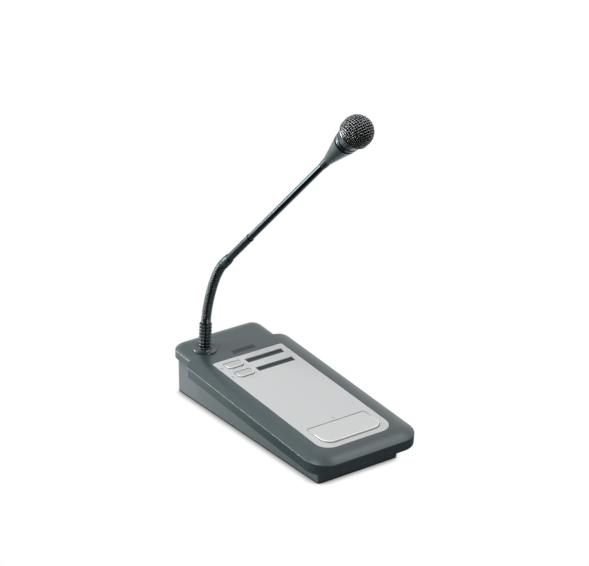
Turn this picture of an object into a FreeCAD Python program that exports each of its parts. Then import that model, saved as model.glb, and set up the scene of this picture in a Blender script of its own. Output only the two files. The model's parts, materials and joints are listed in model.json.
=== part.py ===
import FreeCAD, Part
import math
import os
import re
import Sketcher
from FreeCAD import Placement, Rotation, Vector

# Desk paging station: a wedge housing, a dark cover with a light panel and three hinged keys,
# and a microphone on a slim stem with a flexible lower neck.
#
# The frame stands on the table: x to the user's right, y to the back, z up, in millimetres.
# The deck slopes up to the back. Most top pieces are drawn in the deck frame, where the first
# number runs across, the second runs up the slope and the third stands square to the deck, with
# zero on the deck surface.

doc = FreeCAD.newDocument("paging_station")
os.makedirs("parts", exist_ok=True)

SIZES = {
    # How far a cut runs past the material, and how far a raised form reaches into it
    "overcut": 1.0,
    "bite": 0.5,
    # Deck surface over the middle of the base
    "deck_rise": 38.8,
    "deck_slope": 4.516,
    # Wide front part of the cover
    "wide_half": 54.0,
    "wide_front": -118.45,
    "wide_rear": 81.2,
    "wide_flat": 36.8,
    "wide_drop": 4.65,
    "wide_skirt": 13.7,
    "wide_corner": 19.5,
    "shoulder_corner": 6.0,
    # Narrower rear part of the cover
    "rear_half": 45.8,
    "rear_end": 117.1,
    "rear_flat": 34.5,
    "rear_drop": 5.9,
    "rear_skirt": 12.5,
    "rear_corner": 11.8,
    "cover_edge": 0.9,
    # Inside of the cover
    "cover_wall": 2.4,
    "cover_seat": 7.0,
    "deck_thick": 3.5,
    "hollow_half": 38.0,
    "hollow_front": -96.0,
    "hollow_rear": 110.0,
    "hollow_corner": 0.5,
    # Lower housing
    "house_half": 41.0,
    "house_front": -99.1,
    "house_rear": 112.9,
    "house_corner": 2.0,
    "house_wall": 2.4,
    "house_inner": 1.0,
    "house_stock": 12.0,
    "seat_reach": 150.0,
    "seat_rise": 60.0,
    "foot_gap": 1.0,
    # Light front panel
    "panel_half": 36.8,
    "panel_front": -101.2,
    "panel_rear": 64.6,
    "panel_thick": 1.6,
    "panel_nose": 13.0,
    "panel_tail": 2.5,
    "panel_gap": 0.25,
    "panel_edge": 0.25,
    # Talk key
    "talk_left": -29.6,
    "talk_right": 29.6,
    "talk_front": -94.7,
    "talk_rear": -66.8,
    "talk_nose": 9.5,
    "talk_tail": 2.0,
    "talk_crown": 1.5,
    "talk_press": -85.0,
    "talk_lug_in": 20.0,
    "talk_lug_out": 24.0,
    "talk_arm_out": 28.0,
    # Zone keys; the second sits one pitch nearer the user
    "zone_left": -29.05,
    "zone_right": -12.85,
    "zone_front": 48.9,
    "zone_rear": 59.0,
    "zone_pitch": 16.7,
    "zone_nose": 3.6,
    "zone_tail": 1.2,
    "zone_crown": 1.3,
    "zone_press": 52.4,
    "zone_lug_in": 2.8,
    "zone_lug_out": 5.0,
    "zone_arm_out": 7.8,
    # What the three keys share
    "key_gap": 0.45,
    "key_nose_gap": 0.7,
    "key_under": 2.6,
    "key_roof": 1.0,
    "key_wall": 1.8,
    "key_edge": 0.6,
    "key_inner": 0.6,
    "stalk_half": 1.6,
    "stalk_foot": 5.5,
    "stalk_bite": 0.2,
    "pin_inset": 1.8,
    "pin_depth": 4.9,
    "pin_radius": 0.6,
    "pin_fit": 0.02,
    "lug_radius": 1.6,
    "lug_bore": 0.9,
    "lug_bite": 0.1,
    "arm_top": 3.4,
    "arm_foot": 6.4,
    "arm_reach": 2.0,
    "arm_root": 4.6,
    "arm_gap": 0.8,
    # Label slots beside the zone keys
    "slot_left": -7.8,
    "slot_right": 30.8,
    "slot_front": 50.3,
    "slot_rear": 57.0,
    "strip_thick": 0.5,
    "strip_gap": 0.15,
    # Indicator lights
    "light_radius": 1.0,
    "light_gap": 0.12,
    "light_collar": 1.7,
    "light_foot": 5.2,
    "light_bevel": 0.3,
    "light_brow": 0.2,
    "light_top": 0.3,
    "zone_light_x": -33.8,
    "zone_light_v": 53.4,
    "talk_light_x": 0.5,
    "talk_light_v": -62.5,
    # Blank inlay on the rear of the deck
    "badge_left": -10.0,
    "badge_right": 13.4,
    "badge_front": 69.7,
    "badge_rear": 75.3,
    "badge_deep": 0.6,
    "badge_gap": 0.1,
    "badge_proud": 0.05,
    # Circuit board under the deck
    "board_half": 30.0,
    "board_front": -92.0,
    "board_rear": 62.0,
    "board_top": 11.0,
    "board_thick": 1.6,
    "board_corner": 2.0,
    "board_hole": 1.2,
    "post_radius": 2.5,
    "post_pilot": 0.95,
    "post_pilot_top": 5.0,
    "post_x": 25.0,
    "post_front": -58.0,
    "post_rear": 22.0,
    "tail_post_x": 20.0,
    "tail_post": 57.0,
    "talk_switch_top": 6.7,
    "zone_switch_top": 6.1,
    "switch_half": 3.0,
    "switch_body": 3.2,
    "switch_button": 1.6,
    # Case screws and their posts
    "case_x": 35.0,
    "case_front_y": -88.0,
    "case_rear_y": 104.0,
    "case_front_z": 16.0,
    "case_rear_z": 30.0,
    "boss_radius": 3.8,
    "boss_channel": 2.9,
    "boss_seat": 3.0,
    "case_post": 3.2,
    "case_post_top": 2.7,
    "case_pilot": 1.3,
    "case_pilot_deep": 8.0,
    "case_hole": 1.6,
    # Steel weight on the floor
    "weight_half": 30.0,
    "weight_front": -70.0,
    "weight_rear": 75.0,
    "weight_thick": 6.0,
    "weight_screw_x": 24.0,
    "weight_screw_in": 8.0,
    "weight_corner": 3.0,
    "weight_hole": 1.45,
    "weight_pilot": 1.25,
    "weight_skin": 0.8,
    # Soft feet
    "foot_x": 28.0,
    "foot_front_y": -76.0,
    "foot_rear_y": 90.0,
    "foot_radius": 6.0,
    "foot_sink": 0.4,
    "foot_play": 0.2,
    # Cable inlet at the back and the clamp behind it
    "inlet_z": 12.0,
    "inlet_bore": 2.75,
    "inlet_neck": 4.5,
    "inlet_flange": 6.0,
    "clamp_y": 100.0,
    "clamp_x": 9.0,
    "clamp_thick": 3.0,
    "inlet_play": 0.05,
    "gland_inner": 1.6,
    "gland_outer": 1.7,
    "gland_bevel": 0.8,
    "clamp_margin": 3.0,
    "clamp_corner": 1.0,
    "clamp_grip": 0.25,
    "clamp_hole": 1.4,
    "clamp_boss": 2.8,
    "clamp_pilot": 1.15,
    "clamp_pilot_deep": 7.0,
    "saddle_half": 4.0,
    "saddle_thick": 3.0,
    # Screws: radius and height of the head, then radius and length of the shank
    "case_screw_head": 2.7,
    "case_screw_cap": 1.8,
    "case_screw_shank": 1.25,
    "case_screw_long": 10.0,
    "board_screw_head": 1.9,
    "board_screw_cap": 1.3,
    "board_screw_shank": 0.9,
    "board_screw_long": 6.0,
    "ballast_screw_head": 2.6,
    "ballast_screw_cap": 1.8,
    "ballast_screw_shank": 1.2,
    "ballast_screw_long": 7.4,
    "clamp_screw_head": 2.3,
    "clamp_screw_cap": 1.5,
    "clamp_screw_shank": 1.1,
    "clamp_screw_long": 9.0,
    "drive_width": 0.55,
    "drive_depth": 0.6,
    # Stem foot on the deck
    "stem_x": -27.3,
    "stem_v": 89.53,
    "stem_hole": 5.1,
    "flange_radius": 11.0,
    "flange_play": 0.1,
    "flange_edge": 0.7,
    "flange_bevel": 0.45,
    "flange_shoulder": 1.35,
    "flange_crest": 0.95,
    "flange_rim": 1.4,
    "flange_inside": 1.5,
    "flange_ledge": 0.9,
    "flange_dish": 3.6,
    "flange_floor": 0.6,
    "ring_foot": 1.1,
    "ring_low": 0.8,
    "ring_width": 0.5,
    "ring_side": 1.5,
    "ring_top": 1.7,
    "bush_low": 5.65,
    "bush_high": 4.95,
    "bush_top": 27.2,
    "bush_rib": 0.6,
    "bush_bore": 4.0,
    "bush_foot": 2.0,
    "bush_head": 1.2,
    "bush_rise": 0.3,
    "bush_fall": 0.7,
    "bush_bevel": 0.35,
    "bush_cup": 0.7,
    "bush_play": 0.15,
    "thread_radius": 3.9,
    "thread_foot": 12.0,
    "thread_bevel": 0.3,
    "thread_lead": 0.4,
    "nut_half": 6.5,
    "nut_thick": 4.0,
    "nut_fit": 0.03,
    "washer_thick": 1.0,
    "washer_rim": 1.6,
    "washer_play": 0.2,
    # Flexible neck
    "neck_turn": 10.93,
    "neck_first": 29.6,
    "neck_pitch": 8.8,
    "neck_crest": 4.35,
    "neck_root": 3.95,
    "neck_bore": 2.0,
    "neck_ball": 4.75,
    "neck_socket": 5.15,
    "neck_sink": 0.5,
    # Stem and microphone, measured along the stem from the last neck pivot
    "collar_radius": 4.6,
    "collar_end": 15.9,
    "collar_lip": 0.3,
    "collar_slim": 0.1,
    "collar_band": 3.6,
    "collar_groove": 4.7,
    "groove_wide": 0.4,
    "groove_deep": 0.5,
    "belly_start": 0.15,
    "belly_arc": 30.0,
    "nose_long": 6.0,
    "nose_middle": 2.6,
    "nose_tip": 0.8,
    "nose_middle_in": 0.4,
    "nose_tip_in": 0.7,
    "nose_taper": 1.0,
    "recess_play": 0.15,
    "recess_deep": 0.3,
    "recess_top": 1.0,
    "recess_low": 1.5,
    "stem_fit": 0.02,
    "bore_play": 0.2,
    "sleeve_radius": 3.4,
    "sleeve_end": 51.5,
    "sleeve_sink": 8.0,
    "bead_high": 0.2,
    "bead_long": 1.3,
    "tube_radius": 3.0,
    "tube_bore": 2.2,
    "tube_end": 172.8,
    "boot_end": 181.1,
    "boot_overlap": 6.0,
    "boot_lip": 0.3,
    "boot_swell": 0.55,
    "boot_lead": 3.0,
    "boot_step": 0.15,
    "head_wall": 1.2,
    "cone_floor": 3.0,
    "cone_small": 4.0,
    "cone_large": 9.75,
    "cone_end": 207.4,
    "groove_end": 209.2,
    "oring_foot": 0.5,
    "oring_sunk": 0.15,
    "band_small": 10.1,
    "band_step": 213.0,
    "band_large": 12.6,
    "band_end": 221.4,
    "band_bevel": 0.3,
    "band_rise": 0.4,
    "band_swell": 0.35,
    "band_notch": 0.05,
    "band_shoulder": 1.0,
    "band_seat": 1.6,
    "vent_pitch": 2.0,
    "vent_wide": 1.4,
    "vent_start": 0.7,
    "vent_margin": 1.2,
    "vent_share": 0.55,
    "bezel_end": 223.6,
    "bezel_radius": 13.5,
    "bezel_inside": 1.3,
    "bezel_bevel": 0.6,
    "bezel_flat": 0.5,
    "bezel_lip": 0.35,
    "mesh_seat": 0.6,
    "ball_tip": 239.5,
    "ball_cap": 15.4,
    "ball_side": 12.6,
    "ball_offset": 1.1,
    "mesh_thick": 0.7,
    "foam_gap": 0.2,
    "foam_floor": 234.0,
    "foam_bore": 8.2,
    "capsule_foot": 215.0,
    "capsule_top": 233.8,
    "capsule_radius": 8.0,
    "capsule_bevel": 0.6,
    "capsule_slim": 1.2,
    "capsule_taper": 3.0,
}

# Limits used when edges are picked and results are checked, in millimetres
ON_PLANE = 1e-6
ABOVE_DECK = -0.05
LEAST_CUT = 1e-4

# Ribs on the bush, on the neck above it and on each neck link, and slot groups round the head
BUSH_RIBS = 10
BASE_RIBS = 5
LINK_RIBS = 7
VENT_GROUPS = 6

# How far the neck turns at each of its eight pivots in the resting curve, in degrees
NECK_REST = [5.4, 3.9, 2.8, 2.4, 2.9, 4.4, 7.0, 10.5]

sheet = doc.addObject("Spreadsheet::Sheet", "sizes")
for row, (size_name, amount) in enumerate(SIZES.items(), start=1):
    sheet.set(f"A{row}", size_name)
    sheet.set(f"B{row}", str(amount))
    sheet.setAlias(f"B{row}", size_name)
for row, turn in enumerate(NECK_REST, start=1):
    sheet.set(f"D{row}", str(turn))
    sheet.setAlias(f"D{row}", f"rest_turn_{row}")
doc.recompute()

made = []


# Rules and numbers


def formula(rule):
    """Write a rule of named sizes the way the sheet reads it."""
    return re.sub(
        r"[A-Za-z_][A-Za-z_0-9]*",
        lambda word: "sizes." + word.group(0) if word.group(0) in SIZES else word.group(0),
        str(rule),
    )


def value(rule):
    """Work a rule out as a plain number."""
    answer = sheet.evalExpression(formula(rule))
    return float(getattr(answer, "Value", answer))


# Sketches


def new_sketch(body, name, role, lift):
    """Start a sketch on one of the body's own planes, raised by a rule."""
    plane = [part for part in body.Origin.OriginFeatures if part.Role == role][0]
    sketch = body.newObject("Sketcher::SketchObject", name)
    sketch.AttachmentSupport = [(plane, "")]
    sketch.MapMode = "FlatFace"
    sketch.setExpression("AttachmentOffset.Base.z", formula(lift))
    return sketch


def hold_point(sketch, edge, end, across, up):
    """Tie one point of a sketch to two rules."""
    for kind, rule in (("DistanceX", across), ("DistanceY", up)):
        number = sketch.addConstraint(Sketcher.Constraint(kind, edge, end, value(rule)))
        sketch.setExpression(f"Constraints[{number}]", formula(rule))


def hold_radius(sketch, edge, rule):
    """Tie the radius of an arc or a circle to a rule."""
    number = sketch.addConstraint(Sketcher.Constraint("Radius", edge, value(rule)))
    sketch.setExpression(f"Constraints[{number}]", formula(rule))


def arc_between(start, stop, radius, side):
    """Make the short arc from one point to the next, turning left or right."""
    chord = stop - start
    left = Vector(-chord.y, chord.x, 0).normalize()
    reach = math.sqrt(max(radius**2 - (chord.Length / 2) ** 2, 0))
    centre = (start + stop) / 2 + left * (reach if side == "left" else -reach)
    first, last = (start, stop) if side == "left" else (stop, start)
    begin = math.atan2(first.y - centre.y, first.x - centre.x)
    finish = math.atan2(last.y - centre.y, last.x - centre.x)
    if finish < begin:
        finish += 2 * math.pi
    return Part.ArcOfCircle(Part.Circle(centre, Vector(0, 0, 1), radius), begin, finish)


def draw(body, name, role, corners, lift="0", closed=True):
    """Draw an outline through corners of rules (across, up).

    A corner may add a radius and a side: then an arc leads on from it, turning that way.
    """
    sketch = new_sketch(body, name, role, lift)
    points = [Vector(value(corner[0]), value(corner[1]), 0) for corner in corners]
    count = len(corners) if closed else len(corners) - 1
    edges = []
    for index in range(count):
        start = points[index]
        stop = points[(index + 1) % len(points)]
        corner = corners[index]
        if len(corner) == 4:
            edge = sketch.addGeometry(arc_between(start, stop, value(corner[2]), corner[3]))
            edges.append((edge, 1, 2) if corner[3] == "left" else (edge, 2, 1))
        else:
            edges.append((sketch.addGeometry(Part.LineSegment(start, stop)), 1, 2))
    for index in range(count):
        edge, first, last = edges[index]
        corner = corners[index]
        hold_point(sketch, edge, first, corner[0], corner[1])
        if len(corner) == 4:
            hold_radius(sketch, edge, corner[2])
        if closed or index + 1 < count:
            following = edges[(index + 1) % count]
            sketch.addConstraint(
                Sketcher.Constraint("Coincident", edge, last, following[0], following[1])
            )
        else:
            hold_point(sketch, edge, last, corners[-1][0], corners[-1][1])
    return sketch


def draw_block(body, name, left, right, low, high, lift="0", role="XY_Plane"):
    """Draw a plain rectangle."""
    corners = [(left, low), (right, low), (right, high), (left, high)]
    return draw(body, name, role, corners, lift)


def draw_rounded(body, name, left, right, front, rear, nose, tail, lift="0"):
    """Draw a rectangle with one corner radius in front and another behind."""
    corners = [
        (f"({left}) + ({nose})", front),
        (f"({right}) - ({nose})", front, nose, "left"),
        (right, f"({front}) + ({nose})"),
        (right, f"({rear}) - ({tail})", tail, "left"),
        (f"({right}) - ({tail})", rear),
        (f"({left}) + ({tail})", rear, tail, "left"),
        (left, f"({rear}) - ({tail})"),
        (left, f"({front}) + ({nose})", nose, "left"),
    ]
    return draw(body, name, "XY_Plane", corners, lift)


def draw_circles(body, name, circles, lift="0", role="XY_Plane"):
    """Draw circles, each given by the rules of its centre and radius."""
    sketch = new_sketch(body, name, role, lift)
    for across, up, radius in circles:
        centre = Vector(value(across), value(up), 0)
        edge = sketch.addGeometry(Part.Circle(centre, Vector(0, 0, 1), value(radius)))
        hold_point(sketch, edge, 3, across, up)
        hold_radius(sketch, edge, radius)
    return sketch


# Features


def pad(body, sketch, length):
    """Raise a sketch along its normal."""
    feature = body.newObject("PartDesign::Pad", f"{body.Name}_pad")
    feature.Profile = sketch
    feature.setExpression("Length", formula(length))
    return feature


def pocket(body, sketch, depth):
    """Sink a sketch against its normal."""
    feature = body.newObject("PartDesign::Pocket", f"{body.Name}_pocket")
    feature.Profile = sketch
    feature.setExpression("Length", formula(depth))
    return feature


def cut_across(body, sketch, length):
    """Cut a sketch away to both sides of its plane."""
    feature = pocket(body, sketch, length)
    feature.Midplane = True
    return feature


def turn(body, sketch):
    """Revolve a half profile about the body's upright axis."""
    feature = body.newObject("PartDesign::Revolution", f"{body.Name}_turning")
    feature.Profile = sketch
    feature.ReferenceAxis = (sketch, ["V_Axis"])
    feature.Angle = 360
    return feature


def sweep_away(body, profile, spine):
    """Cut by moving a profile along every edge of a path."""
    feature = body.newObject("PartDesign::SubtractivePipe", f"{body.Name}_roll")
    feature.Profile = profile
    feature.Spine = (spine, [f"Edge{n + 1}" for n in range(len(spine.Geometry))])
    feature.Mode = "Binormal"
    feature.Binormal = Vector(0, 0, 1)
    return feature


def break_edges(body, kind, size_field, rule, wanted):
    """Fillet or chamfer the edges of the newest shape that a test picks."""
    doc.recompute()
    base = body.Tip
    names = [f"Edge{n}" for n, edge in enumerate(base.Shape.Edges, start=1) if wanted(edge)]
    feature = body.newObject(kind, f"{body.Name}_edges")
    feature.Base = (base, names)
    feature.setExpression(size_field, formula(rule))
    return feature


# Bodies and where they stand


def new_body(name):
    """Start a sub-part as a body of its own."""
    body = doc.addObject("PartDesign::Body", name)
    body.Label = name
    made.append(body)
    return body


def lay_on_deck(thing):
    """Put a piece drawn in the deck frame onto the sloping deck."""
    thing.Placement = Placement(Vector(0, 0, 0), Rotation(Vector(1, 0, 0), value("deck_slope")))
    thing.setExpression("Placement.Base.z", formula("deck_rise"))
    thing.setExpression("Placement.Rotation.Angle", formula("deck_slope"))


def deck_frame():
    """The deck frame as a placement."""
    return Placement(
        Vector(0, 0, value("deck_rise")), Rotation(Vector(1, 0, 0), value("deck_slope"))
    )


def stem_frame():
    """The foot of the stem: on the deck, turned so that the stem leans about its own x axis."""
    foot = Placement(
        Vector(value("stem_x"), value("stem_v"), 0),
        Rotation(Vector(0, 0, 1), value("neck_turn")),
    )
    return deck_frame().multiply(foot)


def neck_frames():
    """The frames of the eight neck pivots, each leaning further forward than the last."""
    frames = []
    spot = Vector(0, 0, value("neck_first"))
    lean = 0.0
    for index in range(len(NECK_REST)):
        lean += value(f"sizes.rest_turn_{index + 1}")
        heading = Rotation(Vector(1, 0, 0), lean)
        frames.append(stem_frame().multiply(Placement(spot, heading)))
        spot = spot + heading.multVec(Vector(0, 0, value("neck_pitch")))
    return frames


def solid_group(name, pieces):
    """Several separate solids kept together as one sub-part."""
    group = doc.addObject("Part::Compound", name)
    group.Links = pieces
    group.Label = name
    made.append(group)
    return group


def rod(name, across, along, foot, radius, height):
    """An upright cylinder bound to rules."""
    cylinder = doc.addObject("Part::Cylinder", name)
    cylinder.setExpression("Radius", formula(radius))
    cylinder.setExpression("Height", formula(height))
    cylinder.setExpression("Placement.Base.x", formula(across))
    cylinder.setExpression("Placement.Base.y", formula(along))
    cylinder.setExpression("Placement.Base.z", formula(foot))
    return cylinder


# Cover


def cover_roll(body, name, half, flat, drop, plane):
    """Profile of what the rolled edge takes away, seen along the deck on the left side.

    The roll is one wide arc that leaves the flat deck smoothly. Where it would meet the upright
    skirt, a small arc rounds the edge off.
    """
    clear = "2 * overcut"
    radius = f"((({half}) - ({flat}))^2 + ({drop})^2) / (2 * ({drop}))"
    inner = f"(({radius}) - cover_edge)"
    centre = f"(cover_edge - ({half}))"
    fall = f"sqrt({inner}^2 - (({flat}) + {centre})^2)"
    share = f"(({radius}) / {inner})"
    corners = [
        (f"-({flat})", "0", radius, "left"),
        (
            f"(({flat}) + {centre}) * {share} - ({flat})",
            f"{fall} * {share} - ({radius})",
            "cover_edge",
            "left",
        ),
        (f"-({half})", f"{fall} - ({radius})"),
        (f"-({half}) - {clear}", f"{fall} - ({radius})"),
        (f"-({half}) - {clear}", clear),
        (f"-({flat})", clear),
    ]
    return draw(body, name, "XZ_Plane", corners, lift=f"-({plane})")


def cover_outside(body):
    """Wide front and narrow rear of the cover, each with its rolled edge."""
    wide = draw_rounded(
        body, "wide_plan", "-wide_half", "wide_half", "wide_front", "wide_rear",
        "wide_corner", "shoulder_corner", "-wide_skirt",
    )
    pad(body, wide, "wide_skirt")
    past = "wide_rear + overcut"
    profile = cover_roll(body, "wide_roll", "wide_half", "wide_flat", "wide_drop", past)
    path = draw(
        body, "wide_path", "XY_Plane",
        [
            ("-wide_half", past),
            ("-wide_half", "wide_front + wide_corner", "wide_corner", "left"),
            ("wide_corner - wide_half", "wide_front"),
            ("wide_half - wide_corner", "wide_front", "wide_corner", "left"),
            ("wide_half", "wide_front + wide_corner"),
            ("wide_half", past),
        ],
        closed=False,
    )
    sweep_away(body, profile, path)
    rear = draw(
        body, "rear_plan", "XY_Plane",
        [
            ("-rear_half", "wide_rear"),
            ("rear_half", "wide_rear"),
            ("rear_half", "rear_end - rear_corner", "rear_corner", "left"),
            ("rear_half - rear_corner", "rear_end"),
            ("rear_corner - rear_half", "rear_end", "rear_corner", "left"),
            ("-rear_half", "rear_end - rear_corner"),
        ],
        "-rear_skirt",
    )
    pad(body, rear, "rear_skirt")
    profile = cover_roll(body, "rear_roll", "rear_half", "rear_flat", "rear_drop", "wide_rear")
    path = draw(
        body, "rear_path", "XY_Plane",
        [
            ("-rear_half", "wide_rear"),
            ("-rear_half", "rear_end - rear_corner", "rear_corner", "right"),
            ("rear_corner - rear_half", "rear_end"),
            ("rear_half - rear_corner", "rear_end", "rear_corner", "right"),
            ("rear_half", "rear_end - rear_corner"),
            ("rear_half", "wide_rear"),
        ],
        closed=False,
    )
    sweep_away(body, profile, path)


def cover_inside(body):
    """Hollow under the rims, and the deeper hollow over the housing."""
    rim = draw_rounded(
        body, "rim_hollow", "cover_wall - wide_half", "wide_half - cover_wall",
        "wide_front + cover_wall", "wide_rear - cover_wall",
        "wide_corner - cover_wall", "shoulder_corner - cover_wall", "-cover_seat",
    )
    pocket(body, rim, "wide_skirt - cover_seat + overcut")
    tail = draw_rounded(
        body, "tail_hollow", "cover_wall - rear_half", "rear_half - cover_wall",
        "wide_rear - 2 * cover_wall", "rear_end - cover_wall",
        "hollow_corner", "rear_corner - cover_wall", "-cover_seat",
    )
    pocket(body, tail, "wide_skirt - cover_seat + overcut")
    middle = draw_block(
        body, "middle_hollow", "-hollow_half", "hollow_half", "hollow_front", "hollow_rear",
        "-deck_thick",
    )
    pocket(body, middle, "cover_seat - deck_thick + overcut")


def draw_key_opening(body, name, key, shift="0"):
    """Outline of the hole round a key, with a wider gap at its front edge."""
    return draw_rounded(
        body, name, f"{key}_left - key_gap", f"{key}_right + key_gap",
        f"{key}_front - key_nose_gap - ({shift})", f"{key}_rear + key_gap - ({shift})",
        f"{key}_nose + key_gap", f"{key}_tail + key_gap",
    )


def cut_key_openings(body, depth):
    """Holes for the talk key and the two zone keys."""
    for key, shift in (("talk", "0"), ("zone", "0"), ("zone", "zone_pitch")):
        pocket(body, draw_key_opening(body, f"{key}_opening", key, shift), depth)


def light_circles(gap):
    """Centres and radius of the three light openings."""
    radius = f"light_radius + {gap}"
    return [
        ("zone_light_x", "zone_light_v", radius),
        ("zone_light_x", "zone_light_v - zone_pitch", radius),
        ("talk_light_x", "talk_light_v", radius),
    ]


def cover_hinge_arms(body):
    """Arms under the deck that carry the key pins, on both sides of each key."""
    for key, shift in (("talk", "0"), ("zone", "0"), ("zone", "zone_pitch")):
        middle = f"({key}_left + {key}_right) / 2"
        pin = f"{key}_rear - pin_inset - ({shift})"
        for side in ("1", "-1"):
            near = f"{middle} + {side} * ({key}_lug_out + arm_gap)"
            far = f"{middle} + {side} * {key}_arm_out"
            left, right = (near, far) if side == "1" else (far, near)
            arm = draw_block(
                body, "arm_plan", left, right, f"{pin} - arm_reach", f"{pin} + arm_root",
                "-arm_foot",
            )
            pad(body, arm, "arm_foot - arm_top")
        bore = draw_circles(
            body, "pin_bore", [(pin, "-pin_depth", "pin_radius + pin_fit")],
            middle, "YZ_Plane",
        )
        cut_across(body, bore, f"2 * ({key}_arm_out + overcut)")


BOARD_POSTS = [
    ("-post_x", "post_front"),
    ("post_x", "post_front"),
    ("-post_x", "post_rear"),
    ("post_x", "post_rear"),
    ("tail_post_x", "tail_post"),
]


def cover_shell():
    """The dark cover as one moulding in the deck frame, still without its case posts."""
    body = doc.addObject("PartDesign::Body", "cover_shell")
    lay_on_deck(body)
    cover_outside(body)
    cover_inside(body)
    recess = draw_rounded(
        body, "panel_recess", "-panel_half - panel_gap", "panel_half + panel_gap",
        "panel_front - panel_gap", "panel_rear + panel_gap",
        "panel_nose + panel_gap", "panel_tail + panel_gap",
    )
    pocket(body, recess, "panel_thick")
    cut_key_openings(body, "deck_thick + overcut")
    lights = draw_circles(body, "light_holes", light_circles("light_gap"))
    pocket(body, lights, "deck_thick + overcut")
    stem = draw_circles(body, "stem_opening", [("stem_x", "stem_v", "stem_hole")])
    pocket(body, stem, "deck_thick + overcut")
    badge = draw_block(
        body, "badge_recess", "badge_left", "badge_right", "badge_front", "badge_rear"
    )
    pocket(body, badge, "badge_deep")
    posts = [(across, along, "post_radius") for across, along in BOARD_POSTS]
    posts_sketch = draw_circles(body, "board_posts", posts, "-board_top")
    pad(body, posts_sketch, "board_top - deck_thick + bite")
    pilots = [(across, along, "post_pilot") for across, along in BOARD_POSTS]
    pilots_sketch = draw_circles(body, "post_pilots", pilots, "-post_pilot_top")
    pocket(body, pilots_sketch, "board_top - post_pilot_top + overcut")
    cover_hinge_arms(body)
    return body


CASE_CORNERS = [
    ("case_x", "case_front_y", "case_front_z"),
    ("-case_x", "case_front_y", "case_front_z"),
    ("case_x", "case_rear_y", "case_rear_z"),
    ("-case_x", "case_rear_y", "case_rear_z"),
]


def top_cover():
    """The cover with its four upright case posts, drilled for the case screws."""
    posts = []
    pilots = []
    for across, along, foot in CASE_CORNERS:
        into_deck = f"deck_rise + ({along}) * tan(deck_slope) - case_post_top - ({foot})"
        posts.append(rod("case_post", across, along, foot, "case_post", into_deck))
        start = f"({foot}) - overcut"
        deep = "case_pilot_deep + overcut"
        pilots.append(rod("case_pilot", across, along, start, "case_pilot", deep))
    moulding = doc.addObject("Part::MultiFuse", "cover_moulding")
    moulding.Shapes = [cover_shell()] + posts
    drills = doc.addObject("Part::MultiFuse", "cover_drills")
    drills.Shapes = pilots
    cover = doc.addObject("Part::Cut", "top_cover")
    cover.Base = moulding
    cover.Tool = drills
    cover.Label = "top_cover"
    made.append(cover)


# Lower housing


def lower_housing():
    """Wedge box with its floor, screw bosses, feet recesses and cable inlet."""
    body = new_body("lower_housing")
    floor = "foot_gap + house_wall"
    outside = draw_rounded(
        body, "house_plan", "-house_half", "house_half", "house_front", "house_rear",
        "house_corner", "house_corner", "foot_gap",
    )
    pad(body, outside, "deck_rise + house_stock - foot_gap")
    inside = draw_rounded(
        body, "house_hollow", "house_wall - house_half", "house_half - house_wall",
        "house_front + house_wall", "house_rear - house_wall", "house_inner", "house_inner",
        "deck_rise + house_stock",
    )
    pocket(body, inside, f"deck_rise + house_stock - ({floor})")
    bosses = (("front", "case_front_y", "case_front_z"), ("rear", "case_rear_y", "case_rear_z"))
    for end, along, top in bosses:
        pair = [("case_x", along, "boss_radius"), ("-case_x", along, "boss_radius")]
        pad(body, draw_circles(body, f"{end}_bosses", pair, "foot_gap"), f"{top} - foot_gap")
        hole = [("case_x", along, "case_hole"), ("-case_x", along, "case_hole")]
        pocket(body, draw_circles(body, f"{end}_holes", hole, top), "2 * boss_seat")
        wide = [("case_x", along, "boss_channel"), ("-case_x", along, "boss_channel")]
        sketch = draw_circles(body, f"{end}_channels", wide, f"{top} - boss_seat")
        pocket(body, sketch, f"{top} - boss_seat")
    clamp = [("clamp_x", "clamp_y", "clamp_boss"), ("-clamp_x", "clamp_y", "clamp_boss")]
    pad(body, draw_circles(body, "clamp_bosses", clamp, "2 * foot_gap"), "inlet_z - 2 * foot_gap")
    saddle = draw_block(
        body, "saddle", "-saddle_half", "saddle_half",
        "clamp_y - saddle_thick / 2", "clamp_y + saddle_thick / 2", "2 * foot_gap",
    )
    pad(body, saddle, "inlet_z - inlet_bore - 2 * foot_gap")
    pilots = [("clamp_x", "clamp_y", "clamp_pilot"), ("-clamp_x", "clamp_y", "clamp_pilot")]
    pocket(body, draw_circles(body, "clamp_pilots", pilots, "inlet_z"), "clamp_pilot_deep")
    weight = [
        (f"{side} * weight_screw_x", along, "weight_pilot")
        for side in ("1", "-1")
        for along in ("weight_front + weight_screw_in", "weight_rear - weight_screw_in")
    ]
    pocket(body, draw_circles(body, "weight_pilots", weight, floor), "house_wall - weight_skin")
    feet = [
        (f"{side} * foot_x", along, "foot_radius + foot_play")
        for side in ("1", "-1")
        for along in ("foot_front_y", "foot_rear_y")
    ]
    pocket(body, draw_circles(body, "foot_recess", feet, "foot_gap + foot_sink"), "2 * foot_sink")
    inlet = draw_circles(
        body, "inlet_hole", [("0", "inlet_z", "inlet_neck + inlet_play")],
        "-(house_rear - house_wall - overcut)", "XZ_Plane",
    )
    pocket(body, inlet, "house_wall + 2 * overcut")
    slope = "tan(deck_slope)"
    seat = "deck_rise - cover_seat / cos(deck_slope)"
    top = draw(
        body, "seat_line", "YZ_Plane",
        [
            ("-seat_reach", f"{seat} - seat_reach * {slope}"),
            ("seat_reach", f"{seat} + seat_reach * {slope}"),
            ("seat_reach", "deck_rise + seat_rise"),
            ("-seat_reach", "deck_rise + seat_rise"),
        ],
    )
    cut_across(body, top, "4 * house_half")


# Panel and the small pieces in it


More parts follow.
